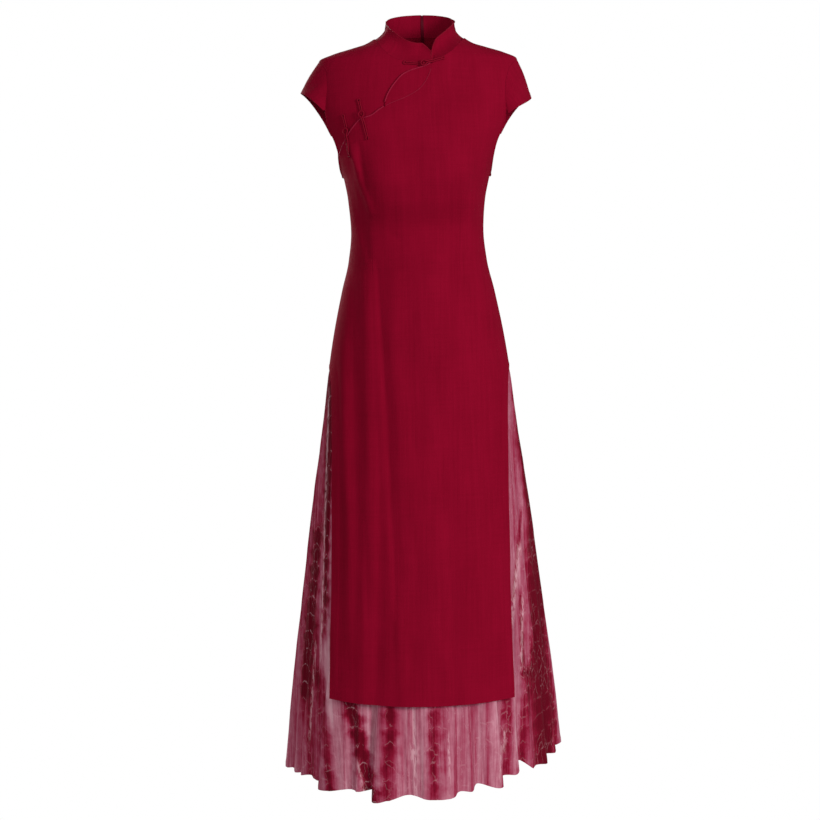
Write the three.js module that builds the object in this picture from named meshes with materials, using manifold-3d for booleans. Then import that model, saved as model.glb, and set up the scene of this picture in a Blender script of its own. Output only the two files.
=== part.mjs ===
// A cap-sleeved ao dai, filled out as it is worn: a fitted crimson dress with a stand collar,
// a slanted front edge with a piped petal inset and three frog fastenings, a centre-back zip,
// side slits from the hip, and a flared tie-dyed underskirt that hangs below the front panel.
// Millimetres, +Z up. The front faces -Y and the wearer's right side is at -X.
// Origin: level with the two side neck points, on the middle line of the body.

import * as THREE from "three";
import { mergeVertices } from "three/addons/utils/BufferGeometryUtils.js";
import Module from "manifold-3d";

const wasm = await Module();
wasm.setup();

// ---- driving sizes -------------------------------------------------------------------------

const CLOTH = 1.5;           // dress cloth with its turned edges
const SKIRT_CLOTH = 1.2;
const COLLAR_CLOTH = 2;      // collar stiffened between two layers
const SEAM = 0.3;            // gap left between sewn pieces
const SEWN = 0.35;           // how far a sewn-on piece starts beyond the edge that it joins

const SHOULDER_Z = -40;      // shoulder tip
const UNDERARM_Z = -256;
const SLIT_Z = -614;         // top of both side slits
const PANEL_HEM_Z = -1227;
const SKIRT_TOP_Z = -378;
const SKIRT_HEM_Z = -1398;

const LEAN = 10;             // how far the collar hangs towards the wearer's left of the body
const LEAN_FROM_Z = -140;
const LEAN_TO_Z = 50;

const NECK_HALF = 84;
const NECK_FRONT_Z = -50;
const NECK_BACK_Z = 8;
const FRONT_MEET_X = 27;     // where the collar halves and the slanted edge start
const ZIP_X = 6;             // the back seam is worn a little off the middle
const ZIP_GAP = 3.6;
const ZIP_END_Z = -530;

const OVERLAP_LIFT = 2.6;    // the slanted edge lies this far out, over the yoke
const OVERLAP_FLAT = 14;     // width over which that lift is whole
const OVERLAP_FADE = 44;     // distance from the edge where it has faded
const UNDERLAP = 12;         // depth of yoke below the slanted edge

const PIPING_RADIUS = 1.3;
const CORD_RADIUS = 1.25;
const BALL_RADIUS = 3.4;
const EYE_RADIUS = 2.6;      // small round eye at the end of each frog half
const LEG_SPREAD = 1.6;      // half the spacing of a frog's two cords

// ---- tables --------------------------------------------------------------------------------

// Level sections of the filled garment. Each is a rounded oval: half its width, its depth in
// front of and behind the side seam, and how square it is (2 is an ellipse).
const SECTIONS = [
  { z: 14, half: 66, front: 52, back: 58, square: 2.0 },
  { z: 0, half: 84, front: 58, back: 66, square: 2.0 },
  { z: -11, half: 103, front: 62, back: 71, square: 2.0 },
  { z: -18, half: 126, front: 66, back: 76, square: 2.0 },
  { z: -29, half: 163, front: 70, back: 80, square: 2.0 },
  { z: -40, half: 186, front: 74, back: 84, square: 2.1 },
  { z: -70, half: 190, front: 84, back: 93, square: 2.2 },
  { z: -110, half: 190, front: 98, back: 101, square: 2.3 },
  { z: -150, half: 181, front: 111, back: 105, square: 2.3 },
  { z: -200, half: 158, front: 122, back: 104, square: 2.3 },
  { z: -256, half: 137, front: 127, back: 98, square: 2.3 },
  { z: -300, half: 129, front: 119, back: 90, square: 2.2 },
  { z: -358, half: 126, front: 98, back: 78, square: 2.1 },
  { z: -415, half: 132, front: 98, back: 84, square: 2.1 },
  { z: -473, half: 146, front: 106, back: 99, square: 2.1 },
  { z: -549, half: 162, front: 114, back: 115, square: 2.1 },
  { z: -615, half: 173, front: 120, back: 121, square: 2.1 },
  { z: -743, half: 190, front: 133, back: 131, square: 2.05 },
  { z: -881, half: 211, front: 156, back: 149, square: 2.0 },
  { z: -1080, half: 237, front: 190, back: 182, square: 2.0 },
  { z: -1222, half: 256, front: 214, back: 207, square: 2.0 },
  { z: -1400, half: 275, front: 244, back: 236, square: 2.0 },
];

// Edge of the armhole, then the edge of the long panels below the slit.
const ARMHOLE = [
  { z: -40, x: 186 },
  { z: -62, x: 170 },
  { z: -95, x: 165 },
  { z: -134, x: 167 },
  { z: -160, x: 163 },
  { z: -200, x: 147 },
  { z: -230, x: 140 },
  { z: -256, x: 137 },
];
const PANEL_EDGE = [
  { z: -614, x: 173 },
  { z: -640, x: 168 },
  { z: -720, x: 165 },
  { z: -1000, x: 166 },
  { z: -1227, x: 171 },
];

// Slanted front edge, from the collar to the wearer's right armhole.
const SLANT = [
  { x: 27, z: -50 },
  { x: 26, z: -60 },
  { x: 23, z: -73 },
  { x: 15, z: -91 },
  { x: 4, z: -104 },
  { x: -20, z: -118 },
  { x: -47, z: -129 },
  { x: -66, z: -140 },
  { x: -80, z: -150 },
  { x: -99, z: -156 },
  { x: -115, z: -172 },
  { x: -128, z: -192 },
  { x: -141, z: -222 },
];
// Upper edge of the petal inset, which starts and ends on the slanted edge.
const PETAL_ARC = [
  { x: 27, z: -53 },
  { x: 16, z: -60 },
  { x: 0, z: -65 },
  { x: -12, z: -69 },
  { x: -25, z: -76 },
  { x: -39, z: -92 },
  { x: -50, z: -111 },
  { x: -56, z: -128 },
];

// Soft folds and dart ridges of the dress: a line from (x, z) to (endX, endZ), its half width
// and how far it rises (or sinks, below zero) at the middle of its length.
const DRESS_FOLDS = [
  { x: -115, z: -200, endX: -92, endZ: -345, width: 11, rise: 4 },
  { x: -92, z: -270, endX: -79, endZ: -400, width: 8, rise: -4 },
  { x: -86, z: -380, endX: -106, endZ: -1010, width: 18, rise: 4 },
  { x: -78, z: -390, endX: -40, endZ: -1020, width: 14, rise: -4 },
  { x: -128, z: -440, endX: -126, endZ: -1100, width: 13, rise: -3 },
  { x: 56, z: -270, endX: 69, endZ: -560, width: 12, rise: -2.5 },
  { x: 52, z: -760, endX: 58, endZ: -1180, width: 22, rise: -3 },
  { x: -84, z: -1060, endX: -98, endZ: -1290, width: 12, rise: -3 },
];
const BACK_FOLDS = [
  { x: 74, z: -250, endX: 66, endZ: -540, width: 13, rise: -3 },
  { x: -62, z: -250, endX: -58, endZ: -540, width: 13, rise: -3 },
  { x: 92, z: -620, endX: 104, endZ: -1190, width: 24, rise: -4 },
  { x: -44, z: -660, endX: -62, endZ: -1230, width: 26, rise: -4 },
  { x: -118, z: -600, endX: -124, endZ: -1060, width: 18, rise: 3 },
];

// Rounded fullness over each bust point and each shoulder blade and hip of a general figure.
const FULLNESS = [
  { side: -1, x: 76, z: -248, wide: 48, tall: 60, rise: 11 },
  { side: 1, x: 78, z: -150, wide: 55, tall: 70, rise: 3 },
  { side: 1, x: 70, z: -545, wide: 62, tall: 75, rise: 5 },
];

// Troughs of the flared skirt. The angle is from the middle of that side, positive to the
// wearer's left, with the half width in degrees and the depth at the hem.
const SKIRT_TROUGHS = {
  front: [
    { angle: -78, width: 6, depth: 12, from: -640 },
    { angle: -65, width: 6, depth: 13, from: -580 },
    { angle: -53, width: 5, depth: 10, from: -760 },
    { angle: -41, width: 6, depth: 18, from: -620 },
    { angle: -30, width: 5, depth: 10, from: -860 },
    { angle: -20, width: 6, depth: 17, from: -760 },
    { angle: -4, width: 6, depth: 10, from: -1000 },
    { angle: 12, width: 5, depth: 14, from: -820 },
    { angle: 23, width: 5, depth: 15, from: -760 },
    { angle: 35, width: 5, depth: 15, from: -700 },
    { angle: 45, width: 5, depth: 14, from: -680 },
    { angle: 57, width: 6, depth: 12, from: -700 },
    { angle: 68, width: 5, depth: 15, from: -600 },
    { angle: 80, width: 5, depth: 11, from: -660 },
  ],
  back: [
    { angle: -74, width: 7, depth: 15, from: -640 },
    { angle: -57, width: 6, depth: 17, from: -700 },
    { angle: -40, width: 7, depth: 14, from: -760 },
    { angle: -22, width: 6, depth: 17, from: -720 },
    { angle: -6, width: 6, depth: 13, from: -860 },
    { angle: 12, width: 7, depth: 17, from: -780 },
    { angle: 29, width: 6, depth: 14, from: -700 },
    { angle: 46, width: 7, depth: 17, from: -740 },
    { angle: 64, width: 6, depth: 14, from: -640 },
    { angle: 80, width: 5, depth: 11, from: -620 },
  ],
};

// The frogs: the ball's place, the far end of the knot half (on the yoke) and of the loop half.
const FROGS = [
  { name: "collar", x: 11, z: -55.5, knotX: -23, knotZ: -53, loopX: 46, loopZ: -46 },
  { name: "chest", x: -98, z: -147, knotX: -104, knotZ: -121, loopX: -86, loopZ: -190 },
  { name: "side", x: -126, z: -175, knotX: -132, knotZ: -148, loopX: -116, loopZ: -218 },
];

// Levels shared by panels and sleeves. The first seven are the ones a cap sleeve is sewn to.
const SEWN_LEVELS = 7;
const FRONT_ARM_LEVELS = [-40, -52, -66, -82, -100, -118, -134, -165, -205, UNDERARM_Z];
const BACK_ARM_LEVELS = [-40, -54, -72, -94, -119, -146, -174, -198, -226, UNDERARM_Z];
const BODY_LEVELS = [-300, -350, -405, -465, ZIP_END_Z, SLIT_Z, -640, -720, -860, -1040, PANEL_HEM_Z];
const BELOW_ZIP_Z = -545;
const SHOULDER_LEVELS = [-2.5, -13, -19.5, -25, -30, -35, -39, SHOULDER_Z];
const SKIRT_LEVELS = [SKIRT_TOP_Z, -405, -465, -545, -640, -760, -900, -1060, -1230, SKIRT_HEM_Z];

// ---- small tools ---------------------------------------------------------------------------

const RIGHT = -1;
const LEFT = 1;
const FRONT = -1;
const BACK = 1;

const mix = (a, b, t) => a + (b - a) * t;
const rad = (degrees) => (degrees * Math.PI) / 180;

// Eases from 0 to 1 as the value passes from one limit to the other.
function smooth(from, to, value) {
  const u = THREE.MathUtils.clamp((value - from) / (to - from), 0, 1);
  return u * u * (3 - 2 * u);
}

function vec(x, y, z) {
  return new THREE.Vector3(x, y, z);
}

// A point moved sideways as the shoulders and collar lean.
function leaned(point) {
  return vec(point.x + LEAN * smooth(LEAN_FROM_Z, LEAN_TO_Z, point.z), point.y, point.z);
}

// A smooth curve through a table's rows that never overshoots them.
function curve(rows, at, value) {
  const points = [...rows].sort((a, b) => a[at] - b[at]);
  const t = points.map((row) => row[at]);
  const v = points.map((row) => row[value]);
  const rise = t.slice(1).map((end, i) => (v[i + 1] - v[i]) / (end - t[i]));
  const slope = t.map((_, i) => {
    if (i === 0 || i === t.length - 1) return rise[Math.min(i, rise.length - 1)];
    const before = rise[i - 1];
    const after = rise[i];
    return before * after > 0 ? (2 * before * after) / (before + after) : 0;
  });
  return (x) => {
    const found = t.findIndex((value) => value > x);
    const i = found < 0 ? t.length - 2 : Math.max(found - 1, 0);
    const step = t[i + 1] - t[i];
    const u = THREE.MathUtils.clamp((x - t[i]) / step, 0, 1);
    const a = (1 + 2 * u) * (1 - u) ** 2 * v[i] + u ** 2 * (3 - 2 * u) * v[i + 1];
    const b = u * (1 - u) ** 2 * slope[i] - u ** 2 * (1 - u) * slope[i + 1];
    return a + b * step;
  };
}

// The value between low and high where a rising function of it crosses zero.
function solve(rising, low, high) {
  for (let round = 0; round < 40; round += 1) {
    const middle = (low + high) / 2;
    if (rising(middle) > 0) high = middle;
    else low = middle;
  }
  return (low + high) / 2;
}

// Outward directions of a grid's points, from their neighbours.
function gridNormals(grid, outwards) {
  return grid.map((row, i) => row.map((point, j) => {
    const down = vec(0, 0, 0).subVectors(
      grid[Math.min(i + 1, grid.length - 1)][j], grid[Math.max(i - 1, 0)][j]);
    const along = vec(0, 0, 0).subVectors(
      row[Math.min(j + 1, row.length - 1)], row[Math.max(j - 1, 0)]);
    const normal = down.cross(along).normalize();
    return normal.dot(outwards(point)) < 0 ? normal.negate() : normal;
  }));
}

// A closed wall between two grids of the same size.
function wall(outer, inner) {
  const rows = outer.length;
  const columns = outer[0].length;
  const points = [...outer.flat(), ...inner.flat()].map(leaned);
  const out = (i, j) => i * columns + j;
  const into = (i, j) => rows * columns + i * columns + j;
  const faces = [];
  const quad = (a, b, c, d) => faces.push(a, b, c, a, c, d);
  for (let i = 0; i < rows - 1; i += 1) {
    for (let j = 0; j < columns - 1; j += 1) {
      quad(out(i, j), out(i + 1, j), out(i + 1, j + 1), out(i, j + 1));
      quad(into(i, j), into(i, j + 1), into(i + 1, j + 1), into(i + 1, j));
    }
    quad(out(i, 0), into(i, 0), into(i + 1, 0), out(i + 1, 0));
    quad(out(i, columns - 1), out(i + 1, columns - 1), into(i + 1, columns - 1), into(i, columns - 1));
  }
  for (let j = 0; j < columns - 1; j += 1) {
    quad(out(0, j), out(0, j + 1), into(0, j + 1), into(0, j));
    quad(out(rows - 1, j), into(rows - 1, j), into(rows - 1, j + 1), out(rows - 1, j + 1));
  }
  let volume = 0;
  for (let k = 0; k < faces.length; k += 3) {
    const [a, b, c] = [points[faces[k]], points[faces[k + 1]], points[faces[k + 2]]];
    volume += a.dot(vec(0, 0, 0).crossVectors(b, c));
  }
  if (volume < 0) faces.reverse();
  const geometry = new THREE.BufferGeometry().setFromPoints(points);
  geometry.setIndex(faces);
  geometry.computeVertexNormals();
  return geometry;
}

// A round cord or piping along a row of points, with closed ends.
function cord(points, radius, sides, steps) {
  const ring = Array.from({ length: sides }, (_, k) => {
    const turn = (2 * Math.PI * k) / sides;
    return new THREE.Vector2(radius * Math.cos(turn), radius * Math.sin(turn));
  });
  const extrudePath = new THREE.CatmullRomCurve3(points.map(leaned));
  return new THREE.ExtrudeGeometry(new THREE.Shape(ring), { steps, extrudePath });
}

// ---- the filled form -----------------------------------------------------------------------

const halfAt = curve(SECTIONS, "z", "half");
const frontAt = curve(SECTIONS, "z", "front");
const backAt = curve(SECTIONS, "z", "back");
const squareAt = curve(SECTIONS, "z", "square");
const armholeAt = curve(ARMHOLE, "z", "x");
const panelEdgeAt = curve(PANEL_EDGE, "z", "x");
const slantAt = curve(SLANT, "x", "z");
const petalAt = curve(PETAL_ARC, "x", "z");

const deepAt = (z, side) => (side === FRONT ? frontAt(z) : backAt(z));

function formY(x, z, side) {
  const square = squareAt(z);
  const across = Math.min(Math.abs(x) / halfAt(z), 1);
  return side * deepAt(z, side) * (1 - across ** square) ** (1 / square);
}

// Outward direction of the form, from how the oval sections grow.
function formNormal(x, y, z, side) {
  const size = (px, py, pz) => {
    const square = squareAt(pz);
    return Math.abs(px / halfAt(pz)) ** square + Math.abs(py / deepAt(pz, side)) ** square;
  };
  const step = 0.5;
  return vec(
    size(x + step, y, z) - size(x - step, y, z),
    size(x, y + step, z) - size(x, y - step, z),
    size(x, y, z + step) - size(x, y, z - step)).normalize();
}

// Rise of one fold: a bell across its line, fading in and out along it.
function foldRise(fold, x, z) {
  const along = (fold.z - z) / (fold.z - fold.endZ);
  if (along <= 0 || along >= 1) return 0;
  const across = (x - mix(fold.x, fold.endX, along)) / fold.width;
  return fold.rise * Math.exp(-across * across) * Math.sin(Math.PI * along) ** 0.7;
}

function relief(x, z, side) {
  let rise = 0;
  for (const full of FULLNESS) {
    if (full.side !== side) continue;
    const across = (Math.abs(x) - full.x) / full.wide;
    const up = (z - full.z) / full.tall;
    rise += full.rise * Math.exp(-across * across - up * up);
  }
  for (const fold of side === FRONT ? DRESS_FOLDS : BACK_FOLDS) rise += foldRise(fold, x, z);
  const nearSeam = Math.abs(formY(x, z, side));
  return rise * smooth(0, 28, nearSeam);
}

// A point on the dress, moved out from its cloth's outer face.
function onDress(x, z, side, out) {
  const y = formY(x, z, side);
  const normal = formNormal(x, y, z, side);
  const point = vec(x, y, z).addScaledVector(normal, relief(x, z, side) + out);
  point.y = side * Math.max(side * point.y, SEAM / 2);
  return point;
}

function edgeAt(z) {
  if (z > UNDERARM_Z) return armholeAt(z);
  return z > SLIT_Z ? halfAt(z) : panelEdgeAt(z);
}

const SLANT_STEPS = 59;
const SLANT_SAMPLES = Array.from({ length: SLANT_STEPS + 1 }, (_, k) => {
  const x = mix(SLANT[0].x, SLANT.at(-1).x, k / SLANT_STEPS);
  return { x, z: slantAt(x) };
});

// How far the slanted edge of the front lies out over the yoke, near that edge.
function overlapLift(x, z) {
  const far = Math.min(...SLANT_SAMPLES.map((spot) => Math.hypot(spot.x - x, spot.z - z)));
  return OVERLAP_LIFT * (1 - smooth(OVERLAP_FLAT, OVERLAP_FADE, far));
}

// Height of the topmost cloth at a place on the front.
function layerOut(x, z) {
  const overFront = x > FRONT_MEET_X || z < slantAt(x);
  if (overFront) return overlapLift(x, z);
  const overPetal = x > PETAL_ARC.at(-1).x && z < petalAt(x);
  return overPetal ? OVERLAP_LIFT : 0;
}

// ---- panels --------------------------------------------------------------------------------

function neckZ(x, side) {
  const low = side === FRONT ? NECK_FRONT_Z : NECK_BACK_Z;
  return low * (1 - Math.min(Math.abs(x) / NECK_HALF, 1) ** 3);
}

function neckTop(degrees, side) {
  const x = NECK_HALF * Math.cos(rad(degrees));
  return { x, z: neckZ(x, side) };
}

function shoulderTops(hand) {
  return SHOULDER_LEVELS.map((z) => ({ x: hand * halfAt(z), z }));
}

// Both faces of a panel. Each column runs down from its top, keeping its share of the width
// between the centre line and the panel's edge.
function panelGrids({ side, hand, tops, centre, levels, bottom, body, out }) {
  const share = tops.map((top) => {
    const middle = centre(top.z);
    return (top.x - middle) / (hand * edgeAt(top.z) - middle);
  });
  const xAt = (j, z) => mix(centre(z), hand * edgeAt(z), share[j]);
  const bottoms = tops.map((top, j) => bottom((z) => xAt(j, z)));
  const depth = levels.at(-1) - levels[0];
  const upper = levels.map((level) => {
    const fraction = (level - levels[0]) / depth;
    return tops.map((top, j) => mix(top.z, bottoms[j], fraction));
  });
  const rows = [...upper, ...body.map((level) => tops.map(() => level))];
  const face = (extra) => rows.map((row) => row.map((z, j) => {
    const x = xAt(j, z);
    return onDress(x, z, side, out(x, z) + extra);
  }));
  return { outer: face(0), inner: face(-CLOTH) };
}

const toUnderarm = () => UNDERARM_Z;
const noLift = () => 0;

// Where each panel's columns meet the neckline, in degrees round the neck from the wearer's left.
const NECK_FRONT_LEFT = [71.1, 63, 51, 36, 18, 0];
const NECK_FRONT_RIGHT = [180, 162, 144, 127, 111, 96, 82, 71.5];
const NECK_BACK_LEFT = [84, 66, 49, 32, 16, 0];
const NECK_BACK_RIGHT = [87, 98, 114, 131, 148, 164, 180];

// Where the slanted edge meets the wearer's right armhole, and where the front's columns meet the
// slanted edge from there on. The petal inset is sewn to the last ones.
const SLANT_END_X = solve((x) => x + armholeAt(slantAt(x)), -150, -138);
const SLANT_COLUMNS = [
  SLANT_END_X, -141, -139.8, -136, -129, -117, -99, -80, -66, -56, -46, -32, -14, 4, 16, 23, 26,
];
const PETAL_FROM = SLANT_COLUMNS.indexOf(-56);

const frontTops = [
  ...SLANT_COLUMNS.map((x) => ({ x, z: slantAt(x) })),
  ...NECK_FRONT_LEFT.map((degrees) => neckTop(degrees, FRONT)),
  ...shoulderTops(LEFT),
];
const front = panelGrids({
  side: FRONT,
  hand: LEFT,
  tops: frontTops,
  centre: () => 0,
  levels: FRONT_ARM_LEVELS,
  bottom: toUnderarm,
  body: BODY_LEVELS,
  out: overlapLift,
});

// The yoke ends below the slanted edge, so each of its columns ends where it crosses that line.
function underSlant(xAt) {
  const past = (z) => z - (slantAt(xAt(z)) - UNDERLAP);
  return solve(past, UNDERARM_Z, NECK_FRONT_Z - 4);
}
const yokeTops = [
  ...shoulderTops(RIGHT).reverse(),
  ...NECK_FRONT_RIGHT.map((degrees) => neckTop(degrees, FRONT)),
];
const yokeEnd = underSlant((z) => -armholeAt(z));
const yoke = panelGrids({
  side: FRONT,
  hand: RIGHT,
  tops: yokeTops,
  centre: () => 0,
  levels: [...FRONT_ARM_LEVELS.slice(0, SEWN_LEVELS), -160, -190, yokeEnd],
  bottom: underSlant,
  body: [],
  out: noLift,
});

// The zip stands between the two backs, and below it they are sewn together.
function backCentre(hand) {
  return (z) => ZIP_X + hand * (z >= ZIP_END_Z ? ZIP_GAP : SEAM) / 2;
}

function backPanel(hand, neckDegrees) {
  const centre = backCentre(hand);
  const neck = neckDegrees.map((degrees) => neckTop(degrees, BACK));
  neck[0] = { x: centre(0), z: neckZ(centre(0), BACK) };
  return panelGrids({
    side: BACK,
    hand,
    tops: [...neck, ...shoulderTops(hand)],
    centre,
    levels: BACK_ARM_LEVELS,
    bottom: toUnderarm,
    body: [...BODY_LEVELS, BELOW_ZIP_Z].sort((a, b) => b - a),
    out: noLift,
  });
}
const backLeft = backPanel(LEFT, NECK_BACK_LEFT);
const backRight = backPanel(RIGHT, NECK_BACK_RIGHT);

// ---- pieces sewn to the panels -------------------------------------------------------------

// The same face points moved a little past the edge, square to it and away from its cloth.
function beyond(edge, behind, distance) {
  return edge.map((point, k) => {
    const before = edge[Math.max(k - 1, 0)];
    const after = edge[Math.min(k + 1, edge.length - 1)];
    const run = vec(0, 0, 0).subVectors(after, before).normalize();
    const away = vec(0, 0, 0).subVectors(point, behind[k]);
    away.addScaledVector(run, -away.dot(run)).normalize();
    return point.clone().addScaledVector(away, distance);
  });
}

const column = (grid, j) => grid.map((row) => row.at(j));
const topOf = (grid, from, to) => beyond(grid[0].slice(from, to), grid[1].slice(from, to), SEWN);

// A stand collar half: it starts on the panels' neck edges and rises to a narrower oval.
const COLLAR_TOP = {
  half: 64,
  front: 60,
  back: 57,
  sideZ: 27.5,
  frontFall: 18,
  frontDip: 25.5,
  backRise: 21.5,
};
const COLLAR_ROWS = [0.13, 0.35, 0.65, 1];
const COLLAR_CORNER = 20;    // radius of the rounded front corner
const COLLAR_PART = 3;       // how far each front end leans away from the other

function collarTopPoint(base) {
  const cosine = THREE.MathUtils.clamp(base.x / NECK_HALF, -1, 1);
  const sine = Math.sqrt(1 - cosine * cosine);
  const ahead = base.y < 0;
  const z = ahead
    ? COLLAR_TOP.sideZ - COLLAR_TOP.frontFall * sine - COLLAR_TOP.frontDip * sine ** 2.7
    : COLLAR_TOP.sideZ + COLLAR_TOP.backRise * sine ** 0.8;
  const y = (ahead ? -COLLAR_TOP.front : COLLAR_TOP.back) * sine;
  return vec(COLLAR_TOP.half * cosine, y, z);
}

// Share of the full height that is left near the rounded front corner.
function cornerShare(distance, height) {
  if (distance >= COLLAR_CORNER) return 1;
  const left = COLLAR_CORNER - distance;
  return 1 - (COLLAR_CORNER - Math.sqrt(COLLAR_CORNER ** 2 - left ** 2)) / height;
}

function collarGrids(outerBase, innerBase, hand) {
  const end = outerBase[0];
  const tops = outerBase.map((base) => {
    const top = collarTopPoint(base);
    const distance = base.distanceTo(end);
    top.x += hand * COLLAR_PART * (1 - smooth(0, 2 * COLLAR_CORNER, distance));
    return base.clone().lerp(top, cornerShare(distance, top.z - base.z));
  });
  const outer = [outerBase, ...COLLAR_ROWS.map((t) => outerBase.map((base, j) => {
    const inwards = 1 - (1 - t) ** 2.5;
    return vec(mix(base.x, tops[j].x, inwards), mix(base.y, tops[j].y, inwards), mix(base.z, tops[j].z, t));
  }))];
  const normals = gridNormals(outer, (point) => vec(point.x, point.y, 30));
  const inner = outer.map((row, i) => row.map((point, j) => (
    i === 0 ? innerBase[j] : point.clone().addScaledVector(normals[i][j], -COLLAR_CLOTH))));
  return { outer, inner };
}

// Neck edge from the front end round to the zip, on one face of the panels.
function neckEdge(face, hand) {
  const frontNeck = hand === LEFT
    ? topOf(front[face], SLANT_COLUMNS.length, SLANT_COLUMNS.length + NECK_FRONT_LEFT.length)
    : topOf(yoke[face], SHOULDER_LEVELS.length, SHOULDER_LEVELS.length + NECK_FRONT_RIGHT.length);
  const backNeck = hand === LEFT
    ? topOf(backLeft[face], 0, NECK_BACK_LEFT.length)
    : topOf(backRight[face], 0, NECK_BACK_RIGHT.length);
  const fromFront = hand === LEFT ? frontNeck : frontNeck.reverse();
  const sideFront = fromFront.pop();
  const toZip = backNeck.reverse();
  const sideBack = toZip.shift();
  return [...fromFront, sideFront.lerp(sideBack, 0.5), ...toZip];
}

const collarLeft = collarGrids(neckEdge("outer", LEFT), neckEdge("inner", LEFT), LEFT);
const collarRight = collarGrids(neckEdge("outer", RIGHT), neckEdge("inner", RIGHT), RIGHT);

// A cap sleeve: from the armhole's upper edge out to a hem that peaks over the shoulder.
const CAP = {
  tipX: 218,
  tipZ: -106,
  tilt: 7,                   // the wearer's left tip hangs lower than the right one
  bow: 1.5,
  front: { endIn: 46, depth: 60, drop: 29 },
  back: { endIn: 55, depth: 54, drop: 70 },
};
const CAP_ROWS = [0.25, 0.5, 0.75, 1];

function capGrids(hand) {
  const frontPart = hand === LEFT ? front : yoke;
  const backPart = hand === LEFT ? backLeft : backRight;
  const frontJ = hand === LEFT ? -1 : 0;
  const nextJ = hand === LEFT ? -2 : 1;
  const seam = (face) => {
    const sewn = (grid, j) => column(grid, j).slice(0, SEWN_LEVELS);
    const ahead = beyond(sewn(frontPart[face], frontJ), sewn(frontPart[face], nextJ), SEWN);
    const behind = beyond(sewn(backPart[face], -1), sewn(backPart[face], -2), SEWN);
    const tip = ahead.shift().lerp(behind.shift(), 0.5);
    return [...ahead.reverse(), tip, ...behind];
  };
  const reach = SEWN_LEVELS - 1;
  const hem = Array.from({ length: 2 * reach + 1 }, (_, k) => {
    const around = (k - reach) / reach;
    const far = Math.abs(around);
    const end = around < 0 ? CAP.front : CAP.back;
    return vec(
      hand * (CAP.tipX - end.endIn * far ** 1.6),
      end.depth * Math.sin((around * Math.PI) / 2),
      CAP.tipZ - hand * CAP.tilt * (1 - far) - end.drop * far ** 2.4);
  });
  const outerSeam = seam("outer");
  const outer = [outerSeam, ...CAP_ROWS.map((t) => outerSeam.map((start, k) => {
    const around = (k - reach) / reach;
    const round = CAP.bow * Math.sin(Math.PI * t) * (1 - around * around);
    return start.clone().lerp(hem[k], t).add(vec(hand * round, 0, round * 0.5));
  }))];
  const normals = gridNormals(outer, (point) => vec(point.x, point.y * 0.8, 110));
  const innerSeam = seam("inner");
  const inner = outer.map((row, i) => row.map((point, j) => (
    i === 0 ? innerSeam[j] : point.clone().addScaledVector(normals[i][j], -CLOTH))));
  return { outer, inner };
}

// The petal inset is sewn to the slanted edge and lies over the yoke, up to its arc.
const PETAL_ROWS = [0.35, 0.7, 1];
const PETAL_LEAST = 1.6;     // its height where it runs out to a point
function petalGrids() {
  const face = (name, extra) => {
    const seam = topOf(front[name], PETAL_FROM, SLANT_COLUMNS.length);
    const rest = PETAL_ROWS.map((share) => seam.map((start) => {
      const z = mix(start.z, Math.max(petalAt(start.x), start.z + PETAL_LEAST), share);
      return onDress(start.x, z, FRONT, OVERLAP_LIFT + extra);
    }));
    return [seam, ...rest];
  };
  return { outer: face("outer", 0), inner: face("inner", -CLOTH) };
}

// Piping beside an edge: a cord just above the yoke, past the given edge points.
const PIPING_ABOVE = 0.8;
function pipingBeside(edge) {
  const away = PIPING_RADIUS + SEWN;
  return edge.map((spot, k) => {
    const before = edge[Math.max(k - 1, 0)];
    const after = edge[Math.min(k + 1, edge.length - 1)];
    const length = Math.hypot(after.x - before.x, after.z - before.z);
    const upX = -(after.z - before.z) / length;
    const upZ = (after.x - before.x) / length;
    return onDress(spot.x + upX * away, spot.z + upZ * away, FRONT, PIPING_RADIUS + PIPING_ABOVE);
  });
}

const PETAL_PIPING_X = [-55.4, -53.5, -50, -45, -39, -32, -25, -16, -6, 5, 16, 23];
const SLANT_PIPING_X = [-139, -134, -129, -123, -117, -108, -99, -90, -80, -72, -66, -61];
const petalPiping = pipingBeside(PETAL_PIPING_X.map((x) => ({ x, z: petalAt(x) })));
const slantPiping = pipingBeside(SLANT_PIPING_X.map((x) => ({ x, z: slantAt(x) })));

// ---- the zip -------------------------------------------------------------------------------

// The closed zip fills the gap between the two backs and between the collar halves.
function zipGrids() {
  const inset = SEAM / ZIP_GAP;
  const lastRow = BACK_ARM_LEVELS.length + BODY_LEVELS.indexOf(ZIP_END_Z);
  const edgeDown = (collar, back) => [
    ...column(collar, -1).reverse(),
    ...column(back, 0).slice(1, lastRow + 1),
  ];
  const face = (name) => {
    const left = edgeDown(collarLeft[name], backLeft[name]);
    const right = edgeDown(collarRight[name], backRight[name]);
    return left.map((point, k) => [
      point.clone().lerp(right[k], inset),
      point.clone().lerp(right[k], 1 - inset),
    ]);
  };
  return { outer: face("outer"), inner: face("inner") };
}

// Slider and pull tab, in a frame that leans with the collar's back. The bridge is a bowed loop
// on the slider, and the pull tab's upper bar turns under it.
const SLIDER = { z: 41, width: 5, height: 10, thick: 1.6, lean: 7.5, stand: 1.6 };
const BRIDGE = { outer: 3.2, inner: 2.2, width: 1.2, sink: 0.4 };
const TAB = { bar: 0.5, eyeHalf: 1.2, eyeEnd: -4.2, wideAt: -6, end: -19, halfTop: 1.9, half: 2.4, thick: 1 };
const TAB_AXIS_OUT = SLIDER.thick + 0.9;

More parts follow.
